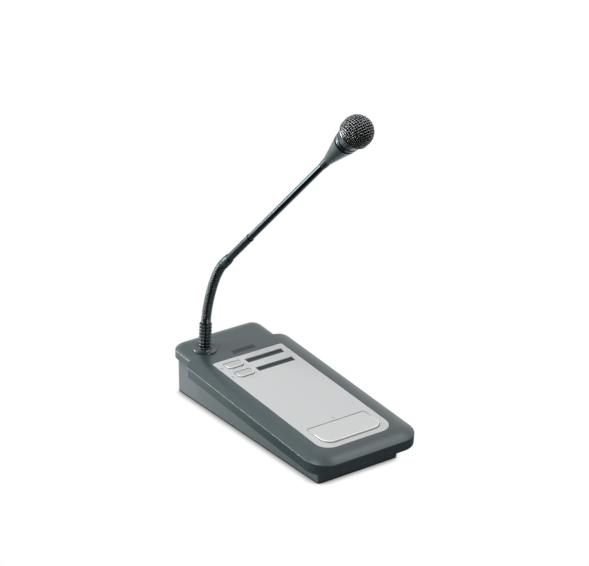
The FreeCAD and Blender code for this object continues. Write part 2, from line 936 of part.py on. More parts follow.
def front_panel():
    """Light panel with holes for keys, lights and labels."""
    body = new_body("front_panel")
    lay_on_deck(body)
    plan = draw_rounded(
        body, "panel_plan", "-panel_half", "panel_half", "panel_front", "panel_rear",
        "panel_nose", "panel_tail", "-panel_thick",
    )
    pad(body, plan, "panel_thick")
    break_edges(
        body, "PartDesign::Chamfer", "Size", "panel_edge",
        lambda edge: max(abs(edge.BoundBox.ZMin), abs(edge.BoundBox.ZMax)) < ON_PLANE,
    )
    cut_key_openings(body, "panel_thick + overcut")
    for shift in ("0", "zone_pitch"):
        slot = draw_block(
            body, "slot", "slot_left", "slot_right", f"slot_front - {shift}", f"slot_rear - {shift}"
        )
        pocket(body, slot, "panel_thick + overcut")
    lights = draw_circles(body, "light_holes", light_circles("light_gap"))
    pocket(body, lights, "panel_thick + overcut")


def label_strip(name, shift):
    """Dark strip lying at the bottom of a label slot."""
    body = new_body(name)
    lay_on_deck(body)
    plan = draw_block(
        body, "strip_plan", "slot_left + strip_gap", "slot_right - strip_gap",
        f"slot_front + strip_gap - {shift}", f"slot_rear - strip_gap - {shift}", "-panel_thick",
    )
    pad(body, plan, "strip_thick")


def light_pipe(name, across, along):
    """Small clear pipe with a domed head and a collar below the deck."""
    body = new_body(name)
    half = draw(
        body, "pipe_profile", "XZ_Plane",
        [
            ("0", "-light_foot"),
            ("light_collar", "-light_foot"),
            ("light_collar", "-deck_thick"),
            ("light_radius", "-deck_thick"),
            ("light_radius", "0"),
            ("light_radius - light_bevel", "light_brow"),
            ("0", "light_top"),
        ],
    )
    turn(body, half)
    body.Placement = deck_frame().multiply(
        Placement(Vector(value(across), value(along), 0), Rotation())
    )


def blank_badge():
    """Plain dark inlay let into the deck."""
    body = new_body("blank_badge")
    lay_on_deck(body)
    plan = draw_block(
        body, "badge_plan", "badge_left + badge_gap", "badge_right - badge_gap",
        "badge_front + badge_gap", "badge_rear - badge_gap", "-badge_deep",
    )
    pad(body, plan, "badge_deep + badge_proud")


# Keys


def rocker_key(name, key, shift):
    """A key hinged near its rear edge: sloping top, hollow underside, lugs and a press stalk."""
    body = new_body(name)
    lay_on_deck(body)
    front = f"({key}_front - {shift})"
    rear = f"({key}_rear - {shift})"
    middle = f"(({key}_left + {key}_right) / 2)"
    plan = draw_rounded(
        body, "key_plan", f"{key}_left", f"{key}_right", front, rear,
        f"{key}_nose", f"{key}_tail", "-key_under",
    )
    pad(body, plan, f"key_under + {key}_crown + overcut")
    length = f"({rear} - {front})"
    above = draw(
        body, "key_slope", "YZ_Plane",
        [
            (front + " - overcut", f"{key}_crown * ({length} + overcut) / {length}"),
            (rear + " + overcut", f"-{key}_crown * overcut / {length}"),
            (rear + " + overcut", f"{key}_crown + 3 * overcut"),
            (front + " - overcut", f"{key}_crown + 3 * overcut"),
        ],
        middle,
    )
    cut_across(body, above, f"2 * ({key}_right - {key}_left)")
    break_edges(
        body, "PartDesign::Fillet", "Radius", "key_edge",
        lambda edge: edge.BoundBox.ZMin > ABOVE_DECK,
    )
    under = draw_rounded(
        body, "key_hollow", f"{key}_left + key_wall", f"{key}_right - key_wall",
        front + " + key_wall", rear + " - pin_inset - lug_radius", "key_inner", "key_inner",
        "-key_roof",
    )
    pocket(body, under, "key_under")
    press = f"({key}_press - {shift})"
    stalk = draw_block(
        body, "stalk_plan", f"{middle} - stalk_half", f"{middle} + stalk_half",
        f"{press} - stalk_half", f"{press} + stalk_half", "-stalk_foot",
    )
    pad(body, stalk, "stalk_foot - key_roof + stalk_bite")
    pin = rear + " - pin_inset"
    for side in ("1", "-1"):
        start = f"{key}_lug_in" if side == "1" else f"-{key}_lug_out"
        lug = draw(
            body, "lug", "YZ_Plane",
            [
                (f"{pin} - lug_radius", "lug_bite - key_under"),
                (f"{pin} - lug_radius", "-pin_depth", "lug_radius", "left"),
                (pin, "-pin_depth - lug_radius", "lug_radius", "left"),
                (f"{pin} + lug_radius", "-pin_depth"),
                (f"{pin} + lug_radius", "lug_bite - key_under"),
            ],
            f"{middle} + {start}",
        )
        pad(body, lug, f"{key}_lug_out - {key}_lug_in")
    bore = draw_circles(
        body, "lug_bore", [(pin, "-pin_depth", "lug_bore")], middle, "YZ_Plane"
    )
    cut_across(body, bore, f"2 * ({key}_lug_out + overcut)")


def hinge_pin(name, key, shift):
    """Steel pin across the arms and lugs of one key."""
    body = new_body(name)
    lay_on_deck(body)
    middle = f"({key}_left + {key}_right) / 2"
    circle = [(f"{key}_rear - pin_inset - {shift}", "-pin_depth", "pin_radius")]
    sketch = draw_circles(body, "pin_end", circle, f"{middle} - {key}_arm_out", "YZ_Plane")
    pad(body, sketch, f"2 * {key}_arm_out")


# Electronics, weight, screws and feet


def main_board():
    """Circuit board hung under the deck, with its screw holes."""
    body = new_body("main_board")
    lay_on_deck(body)
    under = "-board_top - board_thick"
    plan = draw_rounded(
        body, "board_plan", "-board_half", "board_half", "board_front", "board_rear",
        "board_corner", "board_corner", under,
    )
    pad(body, plan, "board_thick")
    holes = [(across, along, "board_hole") for across, along in BOARD_POSTS]
    pocket(body, draw_circles(body, "board_holes", holes, "-board_top"), "board_thick + overcut")


def press_switch(name, key, shift, button_top):
    """Square switch on the board with a round button under the key stalk."""
    body = new_body(name)
    lay_on_deck(body)
    across = f"({key}_left + {key}_right) / 2"
    along = f"{key}_press - {shift}"
    base = draw_block(
        body, "switch_base", f"{across} - switch_half", f"{across} + switch_half",
        f"{along} - switch_half", f"{along} + switch_half", "-board_top",
    )
    pad(body, base, "switch_body")
    button = draw_circles(
        body, "switch_button", [(across, along, "switch_button")], "switch_body - board_top"
    )
    pad(body, button, f"board_top - switch_body - {button_top}")


def screw(kind, place):
    """A screw with its head seat at zero and its shank upwards; a hexagon recess in the head."""
    cap = doc.addObject("Part::Cylinder", f"{kind}_head")
    cap.setExpression("Radius", formula(f"{kind}_head"))
    cap.setExpression("Height", formula(f"{kind}_cap"))
    cap.setExpression("Placement.Base.z", formula(f"-{kind}_cap"))
    shank = doc.addObject("Part::Cylinder", f"{kind}_shank")
    shank.setExpression("Radius", formula(f"{kind}_shank"))
    shank.setExpression("Height", formula(f"{kind}_long"))
    drive = doc.addObject("Part::Prism", f"{kind}_drive")
    drive.Polygon = 6
    drive.setExpression("Circumradius", formula(f"drive_width * {kind}_head"))
    drive.setExpression("Height", formula(f"drive_depth * {kind}_cap"))
    drive.setExpression("Placement.Base.z", formula(f"-{kind}_cap"))
    whole = doc.addObject("Part::Fuse", f"{kind}_blank")
    whole.Base = cap
    whole.Tool = shank
    piece = doc.addObject("Part::Cut", kind)
    piece.Base = whole
    piece.Tool = drive
    piece.Placement = place
    return piece


def case_screws():
    """Long screws in the four boss channels, driven from below."""
    pieces = []
    for across, along, foot in CASE_CORNERS:
        seat = Vector(value(across), value(along), value(f"{foot} - boss_seat"))
        pieces.append(screw("case_screw", Placement(seat, Rotation())))
    solid_group("case_screws", pieces)


def board_screws():
    """Small screws that hold the board to the posts of the cover."""
    pieces = []
    for across, along in BOARD_POSTS:
        seat = Vector(value(across), value(along), value("-board_top - board_thick"))
        place = deck_frame().multiply(Placement(seat, Rotation()))
        pieces.append(screw("board_screw", place))
    solid_group("board_screws", pieces)


def ballast_plate():
    """Steel weight lying on the floor of the housing."""
    body = new_body("ballast_plate")
    floor = "foot_gap + house_wall"
    plan = draw_rounded(
        body, "weight_plan", "-weight_half", "weight_half", "weight_front", "weight_rear",
        "weight_corner", "weight_corner", floor,
    )
    pad(body, plan, "weight_thick")
    holes = [
        (f"{side} * weight_screw_x", along, "weight_hole")
        for side in ("1", "-1")
        for along in ("weight_front + weight_screw_in", "weight_rear - weight_screw_in")
    ]
    sketch = draw_circles(body, "weight_holes", holes, f"{floor} + weight_thick")
    pocket(body, sketch, "weight_thick + overcut")


def ballast_screws():
    """Screws that hold the weight to the floor, heads up."""
    pieces = []
    seat = value("foot_gap + house_wall + weight_thick")
    for side in (1, -1):
        for along in ("weight_front + weight_screw_in", "weight_rear - weight_screw_in"):
            spot = Vector(side * value("weight_screw_x"), value(along), seat)
            place = Placement(spot, Rotation(Vector(1, 0, 0), 180))
            pieces.append(screw("ballast_screw", place))
    solid_group("ballast_screws", pieces)


def feet():
    """Four soft pads set into the floor."""
    pieces = []
    for side in ("1", "-1"):
        for along in ("foot_front_y", "foot_rear_y"):
            pieces.append(
                rod("foot", f"{side} * foot_x", along, "0", "foot_radius", "foot_gap + foot_sink")
            )
    solid_group("feet", pieces)


def cable_gland():
    """Soft bush in the rear wall that the cord would pass through."""
    body = new_body("cable_gland")
    half = draw(
        body, "gland_profile", "XZ_Plane",
        [
            ("inlet_bore", "-house_wall - gland_inner"),
            ("inlet_flange", "-house_wall - gland_inner"),
            ("inlet_flange", "-house_wall"),
            ("inlet_neck", "-house_wall"),
            ("inlet_neck", "0"),
            ("inlet_flange", "0"),
            ("inlet_flange", "gland_outer - gland_bevel"),
            ("inlet_flange - gland_bevel", "gland_outer"),
            ("inlet_bore", "gland_outer"),
        ],
    )
    turn(body, half)
    body.Placement = Placement(
        Vector(0, value("house_rear"), value("inlet_z")), Rotation(Vector(1, 0, 0), -90)
    )


def cable_clamp():
    """Bar over the cord path with a half round groove, and its two screws."""
    body = new_body("cable_clamp")
    plan = draw_rounded(
        body, "clamp_plan", "-clamp_x - clamp_margin", "clamp_x + clamp_margin",
        "clamp_y - clamp_margin", "clamp_y + clamp_margin",
        "clamp_corner", "clamp_corner", "inlet_z",
    )
    pad(body, plan, "clamp_thick")
    groove = draw_circles(
        body, "clamp_groove", [("0", "inlet_z", "inlet_bore - clamp_grip")], "-clamp_y",
        "XZ_Plane",
    )
    cut_across(body, groove, "4 * clamp_margin")
    holes = [("clamp_x", "clamp_y", "clamp_hole"), ("-clamp_x", "clamp_y", "clamp_hole")]
    sketch = draw_circles(body, "clamp_holes", holes, "inlet_z + clamp_thick")
    pocket(body, sketch, "clamp_thick + overcut")
    pieces = []
    for side in (1, -1):
        spot = Vector(side * value("clamp_x"), value("clamp_y"), value("inlet_z + clamp_thick"))
        place = Placement(spot, Rotation(Vector(1, 0, 0), 180))
        pieces.append(screw("clamp_screw", place))
    solid_group("clamp_screws", pieces)


# Foot of the stem


def stem_flange():
    """Round flange with a raised rim, a shallow dish and a ring round the bush."""
    body = new_body("stem_flange")
    half = draw(
        body, "flange_profile", "XZ_Plane",
        [
            ("bush_low + flange_play", "0"),
            ("flange_radius", "0"),
            ("flange_radius", "flange_edge"),
            ("flange_radius - flange_bevel", "flange_shoulder"),
            ("flange_radius - flange_crest", "flange_rim"),
            ("flange_radius - flange_inside", "flange_ledge"),
            ("flange_radius - flange_dish", "flange_floor"),
            ("bush_low + ring_foot", "ring_low"),
            ("bush_low + ring_width", "ring_side"),
            ("bush_low + flange_play", "ring_top"),
        ],
    )
    turn(body, half)
    body.Placement = stem_frame()


def stem_bush():
    """Tapered soft bush with ten ribs and a shallow cup at the top."""
    body = new_body("stem_bush")
    low = "bush_foot"
    high = "bush_top - bush_head"
    corners = [("bush_bore", "0"), ("bush_low", "0")]
    step = f"({high} - {low}) / {BUSH_RIBS}"
    for index in range(BUSH_RIBS):
        taper = f"bush_low - (bush_low - bush_high) * {index} / {BUSH_RIBS - 1}"
        corners += [
            (f"{taper} - bush_rib", f"{low} + {step} * {index}"),
            (taper, f"{low} + {step} * ({index} + bush_rise)"),
            (taper, f"{low} + {step} * ({index} + bush_fall)"),
        ]
    corners += [
        ("bush_high - bush_rib", high),
        ("bush_high", f"{high} + bush_bevel"),
        ("bush_high", "bush_top"),
        ("neck_crest + bush_play", "bush_top"),
        ("neck_crest + bush_play", "bush_top - bush_cup"),
        ("bush_bore", "bush_top - bush_cup"),
    ]
    turn(body, draw(body, "bush_profile", "XZ_Plane", corners))
    body.Placement = stem_frame()


def neck_ribs(low, high, count):
    """Corners of sharp ribs that stand round the neck between two heights."""
    corners = []
    for index in range(count):
        rise = f"({low}) + (({high}) - ({low})) * {{}} / {count}"
        corners.append(("neck_root", rise.format(index)))
        corners.append(("neck_crest", rise.format(index + 0.5)))
    return corners


def ball_end(pivot):
    """Corners of the rounded upper end, centred on the pivot above."""
    rim = f"{pivot} + sqrt(neck_ball^2 - neck_root^2)"
    mouth = f"{pivot} + sqrt(neck_ball^2 - neck_bore^2)"
    return [("neck_root", rim, "neck_ball", "left"), ("neck_bore", mouth)]


def neck_base():
    """Lower end of the flexible neck: thread below the deck, ribs above the bush."""
    body = new_body("neck_base")
    corners = [
        ("neck_bore", "-thread_foot"),
        ("thread_radius - thread_bevel", "-thread_foot"),
        ("thread_radius", "thread_lead - thread_foot"),
        ("thread_radius", "0"),
        ("neck_root", "thread_lead"),
    ]
    ribs_from = "bush_top - neck_sink"
    corners += neck_ribs(ribs_from, "neck_first + sqrt(neck_ball^2 - neck_root^2)", BASE_RIBS)
    corners += ball_end("neck_first")
    turn(body, draw(body, "base_profile", "XZ_Plane", corners))
    body.Placement = stem_frame()


def neck_link(name, frame):
    """One ribbed link: hollow seat over the pivot below, rounded end under the pivot above."""
    body = new_body(name)
    mouth = "sqrt(neck_socket^2 - neck_bore^2)"
    skirt = "sqrt(neck_socket^2 - neck_root^2)"
    rim = "neck_pitch + sqrt(neck_ball^2 - neck_root^2)"
    corners = [("neck_bore", mouth, "neck_socket", "right")]
    corners += neck_ribs(skirt, rim, LINK_RIBS)
    corners += ball_end("neck_pitch")
    turn(body, draw(body, "link_profile", "XZ_Plane", corners))
    body.Placement = frame


def stem_nut():
    """Washer and hexagon nut that hold the stem from below the deck."""
    washer = new_body("stem_washer")
    half = draw(
        washer, "washer_profile", "XZ_Plane",
        [
            ("thread_radius + washer_play", "-deck_thick - washer_thick"),
            ("nut_half + washer_rim", "-deck_thick - washer_thick"),
            ("nut_half + washer_rim", "-deck_thick"),
            ("thread_radius + washer_play", "-deck_thick"),
        ],
    )
    turn(washer, half)
    washer.Placement = stem_frame()
    nut = new_body("stem_nut")
    corner = "nut_half / cos(30)"
    hexagon = [(f"{corner} * cos({60 * n})", f"{corner} * sin({60 * n})") for n in range(6)]
    under = "-deck_thick - washer_thick - nut_thick"
    pad(nut, draw(nut, "nut_plan", "XY_Plane", hexagon, under), "nut_thick")
    bore = draw_circles(nut, "nut_bore", [("0", "0", "thread_radius + nut_fit")], "-deck_thick")
    pocket(nut, bore, "washer_thick + nut_thick + overcut")
    nut.Placement = stem_frame()


# Stem and microphone


def turned_piece(name, frame, corners):
    """A round piece of the microphone from its half profile."""
    body = new_body(name)
    turn(body, draw(body, f"{name}_profile", "XZ_Plane", corners))
    body.Placement = frame
    return body


def stem_pieces(frame):
    """Collar over the last pivot, sleeve, long tube and the dark boot below the cone."""
    bore = "tube_bore + bore_play"
    lip = "collar_radius - collar_lip"
    turned_piece(
        "neck_collar", frame,
        [
            (bore, f"sqrt(neck_socket^2 - ({bore})^2)", "neck_socket", "right"),
            (lip, f"sqrt(neck_socket^2 - ({lip})^2)"),
            ("collar_radius - collar_slim", "collar_band"),
            ("collar_radius - collar_slim", "collar_groove - groove_wide"),
            ("collar_radius - groove_deep", "collar_groove"),
            ("collar_radius - groove_deep", "collar_groove + groove_wide"),
            (
                "collar_radius - belly_start",
                "collar_groove + 2 * groove_wide",
                "belly_arc",
                "right",
            ),
            ("collar_radius - collar_slim", "collar_end - nose_long"),
            ("collar_radius - nose_middle_in", "collar_end - nose_middle"),
            ("collar_radius - nose_tip_in", "collar_end - nose_tip"),
            ("collar_radius - nose_taper", "collar_end"),
            ("sleeve_radius + recess_play", "collar_end"),
            ("sleeve_radius + recess_play", "collar_end - nose_tip"),
            ("sleeve_radius + recess_deep", "collar_end - recess_top"),
            ("sleeve_radius + recess_deep", "collar_end - recess_low"),
            ("sleeve_radius + stem_fit", "collar_end - recess_low"),
            ("sleeve_radius + stem_fit", "collar_end - sleeve_sink"),
            (bore, "collar_end - sleeve_sink"),
        ],
    )
    turned_piece(
        "stem_sleeve", frame,
        [
            ("tube_radius + stem_fit", "collar_end - sleeve_sink"),
            ("sleeve_radius", "collar_end - sleeve_sink"),
            ("sleeve_radius", "sleeve_end - bead_long"),
            ("sleeve_radius + bead_high", "sleeve_end - bead_long + bead_high"),
            ("sleeve_radius + bead_high", "sleeve_end - bead_high"),
            ("sleeve_radius", "sleeve_end"),
            ("tube_radius + stem_fit", "sleeve_end"),
        ],
    )
    turned_piece(
        "stem_tube", frame,
        [
            ("tube_bore", "collar_end - sleeve_sink"),
            ("tube_radius", "collar_end - sleeve_sink"),
            ("tube_radius", "tube_end + boot_overlap"),
            ("tube_bore", "tube_end + boot_overlap"),
        ],
    )
    turned_piece(
        "mic_boot", frame,
        [
            ("tube_radius + stem_fit", "tube_end"),
            ("tube_radius + boot_lip", "tube_end"),
            ("tube_radius + boot_swell", "tube_end + boot_lead"),
            ("cone_small - boot_step", "boot_end"),
            ("tube_bore", "boot_end"),
            ("tube_bore", "tube_end + boot_overlap"),
            ("tube_radius + stem_fit", "tube_end + boot_overlap"),
        ],
    )


def mic_housing(frame):
    """Trumpet cone, dark ring, vented band and thin bezel of the microphone head."""
    turned_piece(
        "mic_cone", frame,
        [
            ("tube_bore", "boot_end"),
            ("cone_small", "boot_end"),
            ("cone_large", "cone_end"),
            ("cone_large - head_wall", "cone_end"),
            ("tube_bore", "boot_end + cone_floor"),
        ],
    )
    turned_piece(
        "mic_oring", frame,
        [
            ("cone_large - head_wall", "cone_end"),
            ("cone_large - oring_foot", "cone_end"),
            ("cone_large - oring_sunk", "(cone_end + groove_end) / 2"),
            ("cone_large - oring_foot", "groove_end"),
            ("cone_large - head_wall", "groove_end"),
        ],
    )
    band = turned_piece(
        "mic_band", frame,
        [
            ("cone_large - head_wall", "groove_end"),
            ("band_small - band_bevel", "groove_end"),
            ("band_small", "groove_end + band_rise"),
            ("band_small + band_swell", "band_step - band_rise"),
            ("band_small + band_notch", "band_step"),
            ("band_large", "band_end"),
            ("band_large - head_wall", "band_end"),
            ("cone_large - band_shoulder", "groove_end + band_seat"),
        ],
    )
    vent_slots(band)
    turned_piece(
        "mic_bezel", frame,
        [
            ("band_large - bezel_inside", "band_end"),
            ("bezel_radius - bezel_bevel", "band_end"),
            ("bezel_radius", "band_end + bezel_bevel"),
            ("bezel_radius", "band_end + bezel_bevel + bezel_flat"),
            ("bezel_radius - bezel_lip", "bezel_end - mesh_seat"),
            ("band_large - bezel_inside", "bezel_end - mesh_seat"),
        ],
    )


def vent_slots(band):
    """Six groups of small slots round the band: three rows of four in each."""
    rows = 3
    columns = 4
    row_pitch = f"((band_end - band_step - vent_margin) / {rows})"
    sketch = new_sketch(band, "vent_group", "XZ_Plane", "0")
    for row_index in range(rows):
        low = f"band_step + vent_start + {row_pitch} * {row_index}"
        high = f"{low} + {row_pitch} * vent_share"
        for column in range(columns):
            left = f"vent_pitch * ({column - (columns - 1) / 2}) - vent_wide / 2"
            right = f"{left} + vent_wide"
            corners = [(left, low), (right, low), (right, high), (left, high)]
            first = sketch.GeometryCount
            for n in range(4):
                start = corners[n]
                stop = corners[(n + 1) % 4]
                line = Part.LineSegment(
                    Vector(value(start[0]), value(start[1]), 0),
                    Vector(value(stop[0]), value(stop[1]), 0),
                )
                sketch.addGeometry(line)
            for n in range(4):
                hold_point(sketch, first + n, 1, corners[n][0], corners[n][1])
                joined = Sketcher.Constraint("Coincident", first + n, 2, first + (n + 1) % 4, 1)
                sketch.addConstraint(joined)
    slots = pocket(band, sketch, "band_large + overcut")
    around = band.newObject("PartDesign::PolarPattern", "vent_pattern")
    around.Originals = [slots]
    around.Axis = (sketch, ["V_Axis"])
    around.Angle = 360
    around.Occurrences = VENT_GROUPS
    band.Tip = around


def dome_corners(inset):
    """Side arc and flatter front arc of the grille, both moved inwards by an inset."""
    cap_centre = "(ball_tip - ball_cap)"
    side_rise = "sqrt((ball_cap - ball_side)^2 - ball_offset^2)"
    share = "(ball_offset / (ball_cap - ball_side))"
    lift = f"({side_rise} / (ball_cap - ball_side))"
    side = f"(ball_side - ({inset}))"
    cap = f"(ball_cap - ({inset}))"
    below = f"({cap_centre} + {side_rise} - (bezel_end - mesh_seat))"
    return [
        (f"ball_offset + sqrt({side}^2 - {below}^2)", "bezel_end - mesh_seat", side, "left"),
        (f"{share} * {cap}", f"{cap_centre} + {lift} * {cap}", cap, "left"),
        ("0", f"{cap_centre} + {cap}"),
    ]


def mic_grille(frame):
    """Round wire grille as a thin dome, with the foam and the capsule behind it."""
    outer = dome_corners("0")
    inner = dome_corners("mesh_thick")
    back = [
        (inner[2][0], inner[2][1], inner[1][2], "right"),
        (inner[1][0], inner[1][1], inner[0][2], "right"),
        (inner[0][0], inner[0][1]),
    ]
    turned_piece("mic_mesh", frame, outer + back)
    foam = dome_corners("mesh_thick + foam_gap")
    hollow = [("0", "foam_floor"), ("foam_bore", "foam_floor"), ("foam_bore", "bezel_end - mesh_seat")]
    turned_piece("mic_foam", frame, foam + hollow)
    turned_piece(
        "mic_capsule", frame,
        [
            ("0", "capsule_foot"),
            ("capsule_radius - capsule_slim", "capsule_foot"),
            ("capsule_radius", "capsule_foot + capsule_taper"),
            ("capsule_radius", "capsule_top - capsule_bevel"),
            ("capsule_radius - capsule_bevel", "capsule_top"),
            ("0", "capsule_top"),
        ],
    )


# Build all sub-parts

lower_housing()
top_cover()
front_panel()
label_strip("label_strip_1", "0")
label_strip("label_strip_2", "zone_pitch")
light_pipe("zone_led_1", "zone_light_x", "zone_light_v")
light_pipe("zone_led_2", "zone_light_x", "zone_light_v - zone_pitch")
light_pipe("talk_led", "talk_light_x", "talk_light_v")
blank_badge()
rocker_key("talk_key", "talk", "0")
rocker_key("zone_key_1", "zone", "0")
rocker_key("zone_key_2", "zone", "zone_pitch")
hinge_pin("talk_hinge_pin", "talk", "0")
hinge_pin("zone_hinge_pin_1", "zone", "0")
hinge_pin("zone_hinge_pin_2", "zone", "zone_pitch")
main_board()
press_switch("talk_switch", "talk", "0", "talk_switch_top")
press_switch("zone_switch_1", "zone", "0", "zone_switch_top")
press_switch("zone_switch_2", "zone", "zone_pitch", "zone_switch_top")
board_screws()
case_screws()
ballast_plate()
ballast_screws()
feet()
cable_gland()
cable_clamp()
stem_flange()
stem_bush()
stem_nut()
neck_base()
pivots = neck_frames()
for number, pivot_frame in enumerate(pivots[:-1], start=1):
    neck_link(f"neck_link_{number}", pivot_frame)
stem_pieces(pivots[-1])
mic_housing(pivots[-1])
mic_grille(pivots[-1])

doc.recompute()

# Check every object and every sub-part before anything is written

for item in doc.Objects:
    if "Invalid" in item.State or "Error" in item.State:
        raise RuntimeError(f"{item.Name} did not build: {item.State}")
    if item.TypeId in ("PartDesign::Pocket", "PartDesign::SubtractivePipe"):
        if not item.Shape.Volume < item.BaseFeature.Shape.Volume - LEAST_CUT:
            raise RuntimeError(f"{item.Name} took nothing away")
for item in made:
    if item.Shape.isNull() or not item.Shape.isValid():
        raise RuntimeError(f"{item.Label} has no sound shape")

for item in made:
    item.Shape.exportStep(f"parts/{item.Label}.step")
    print(item.Label, len(item.Shape.Solids), round(item.Shape.Volume, 1))

# Where the neck turns: each pivot's place, its heading, and the axes of nod and sway

for number, pivot_frame in enumerate(pivots, start=1):
    spot = pivot_frame.Base
    heading = pivot_frame.Rotation.multVec(Vector(0, 0, 1))
    side = pivot_frame.Rotation.multVec(Vector(1, 0, 0))
    across = pivot_frame.Rotation.multVec(Vector(0, 1, 0))
    print("pivot", number, [round(c, 4) for c in (*spot, *heading, *side, *across)])
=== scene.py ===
# %% [markdown]
# # A desk paging station
# The station stands on a shop counter. Someone picks a zone with one of two small keys, holds
# the large talk key and speaks into the microphone on its flexible neck.
#
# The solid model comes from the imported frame. This script gives every solid its surface, adds
# the wound neck, the turns of its bush and the woven grille, and sets up camera and light as in
# the photograph.

# %% Load the fixed frame
import json
import math

import bpy
from mathutils import Matrix, Vector


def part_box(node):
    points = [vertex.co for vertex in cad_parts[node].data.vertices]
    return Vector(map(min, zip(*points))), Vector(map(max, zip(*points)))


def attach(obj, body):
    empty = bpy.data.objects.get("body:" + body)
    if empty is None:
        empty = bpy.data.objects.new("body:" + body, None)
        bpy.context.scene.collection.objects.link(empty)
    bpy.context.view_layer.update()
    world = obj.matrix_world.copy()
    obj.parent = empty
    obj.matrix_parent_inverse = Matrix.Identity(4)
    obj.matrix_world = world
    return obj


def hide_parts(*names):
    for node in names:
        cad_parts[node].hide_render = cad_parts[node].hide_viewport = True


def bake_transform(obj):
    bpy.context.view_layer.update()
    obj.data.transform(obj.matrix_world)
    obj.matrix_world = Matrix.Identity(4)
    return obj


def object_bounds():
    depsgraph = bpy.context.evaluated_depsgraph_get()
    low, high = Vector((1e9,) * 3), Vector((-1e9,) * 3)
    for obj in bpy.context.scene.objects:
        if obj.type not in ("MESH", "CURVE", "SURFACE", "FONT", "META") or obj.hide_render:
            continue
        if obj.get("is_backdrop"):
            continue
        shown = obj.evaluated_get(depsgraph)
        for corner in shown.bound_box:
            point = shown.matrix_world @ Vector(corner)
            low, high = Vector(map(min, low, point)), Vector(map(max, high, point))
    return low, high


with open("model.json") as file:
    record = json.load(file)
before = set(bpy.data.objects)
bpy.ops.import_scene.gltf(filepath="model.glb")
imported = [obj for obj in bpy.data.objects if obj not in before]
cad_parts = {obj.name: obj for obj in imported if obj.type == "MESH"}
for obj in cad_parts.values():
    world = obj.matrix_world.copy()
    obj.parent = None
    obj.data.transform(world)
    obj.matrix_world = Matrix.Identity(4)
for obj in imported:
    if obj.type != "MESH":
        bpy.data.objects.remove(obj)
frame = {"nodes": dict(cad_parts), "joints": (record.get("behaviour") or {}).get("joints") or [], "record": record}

MM = 0.001
scene = bpy.context.scene
nodes = frame["nodes"]
joints = {joint["name"]: joint for joint in frame["joints"]}
slots = {part["node"]: part["material_slot"] for part in frame["record"]["subparts"]}
cad_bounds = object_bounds()
print("solids:", len(nodes), "joints:", len(joints))

# %% [markdown]
# ## Formulas in node trees
# Surfaces and repeated shapes are both built from nodes. Made one by one, the nodes of a formula
# fill a page and hide what it means. A small wrapper lets a formula be written with plus and
# minus signs instead, and one method makes every node.


# %% Wrapper for node formulas
class Value:
    """A number that flows through a node tree."""

    def __init__(self, tree, socket):
        self.tree = tree
        self.socket = socket

    def math(self, operation, *others, clamp=False):
        node = self.tree.make("ShaderNodeMath", operation=operation, use_clamp=clamp)
        for place, item in enumerate((self, *others)):
            self.tree.feed(node.inputs[place], item)
        return Value(self.tree, node.outputs[0])

    def __add__(self, other):
        return self.math("ADD", other)

    def __radd__(self, other):
        return self.math("ADD", other)

    def __sub__(self, other):
        return self.math("SUBTRACT", other)

    def __rsub__(self, other):
        return (self * -1.0).math("ADD", other)

    def __mul__(self, other):
        return self.math("MULTIPLY", other)

    def __rmul__(self, other):
        return self.math("MULTIPLY", other)

    def __truediv__(self, other):
        return self.math("DIVIDE", other)

    def clamped(self):
        return self.math("ADD", 0.0, clamp=True)

    def between(self, low, high):
        """Zero below low, one above high, and a straight ramp in between."""
        return ((self - low) / (high - low)).clamped()


class Tree:
    """A node tree with one way of making nodes."""

    def __init__(self, group):
        self.group = group

    def make(self, kind, inputs=None, **settings):
        node = self.group.nodes.new(kind)
        for name, setting in settings.items():
            setattr(node, name, setting)
        for name, item in (inputs or {}).items():
            self.feed(node.inputs[name], item)
        return node

    def feed(self, socket, item):
        """Link a value, a socket or a node's first output to a socket, or set it to a constant."""
        if isinstance(item, Value):
            item = item.socket
        if isinstance(item, bpy.types.Node):
            item = item.outputs[0]
        if isinstance(item, bpy.types.NodeSocket):
            self.group.links.new(item, socket)
        else:
            socket.default_value = item

    def value(self, node, output=0):
        return Value(self, node.outputs[output])


# %% [markdown]
# Colours pass through the same few steps in most surfaces: made darker or lighter, or laid over
# each other. Each step gets a short name here.


# %% Steps with colours
def rgb(red, green, blue):
    """A colour for a shader socket."""
    return (red, green, blue, 1.0)


def scaled(tree, colour, factor):
    """A colour made darker or lighter by a factor."""
    node = tree.make("ShaderNodeVectorMath", {0: colour}, operation="SCALE")
    tree.feed(node.inputs["Scale"], factor)
    return node.outputs[0]


def mixed(tree, factor, below, above):
    """The colour above, laid over the one below by a factor."""
    node = tree.make("ShaderNodeMix", {"Factor": factor}, data_type="RGBA")
    tree.feed(node.inputs["A"], below)
    tree.feed(node.inputs["B"], above)
    return node.outputs["Result"]


def noise(tree, place, scale, detail=2.0):
    """A cloudy value at a place. The scale is in clouds per metre."""
    return tree.value(
        tree.make("ShaderNodeTexNoise", {"Vector": place, "Scale": scale, "Detail": detail})
    )


WHITE = rgb(1.0, 1.0, 1.0)

# %% [markdown]
# ## Surfaces
# Moulded plastic and lacquered metal are never one flat colour. Every surface here has a slow
# drift of tone from handling and light dust, a fine grain from the mould or the lacquer, and
# small differences in shine. The coordinates are the object's own metres, so the grain has its
# real size. Where narrow grooves lie side by side, as between the turns of the neck, shade is
# also painted deep inside them: the colour gets darker where little light gets in.

# %% Surface recipe
DRIFT_SCALE, DRIFT_DETAIL = 38.0, 4.0
SMEAR_SCALE, SMEAR_DETAIL = 110.0, 6.0
DUST = rgb(0.35, 0.34, 0.32)
DUSTY_FROM, DUSTY_TO = 0.52, 0.75
GRAIN_DEPTH = 0.3
# How closed a place must be to get painted shade, and how much of its colour stays there
CAVITY_CLOSED, CAVITY_OPEN, GROOVE_SHADE_TONE = 0.25, 0.85, 0.1


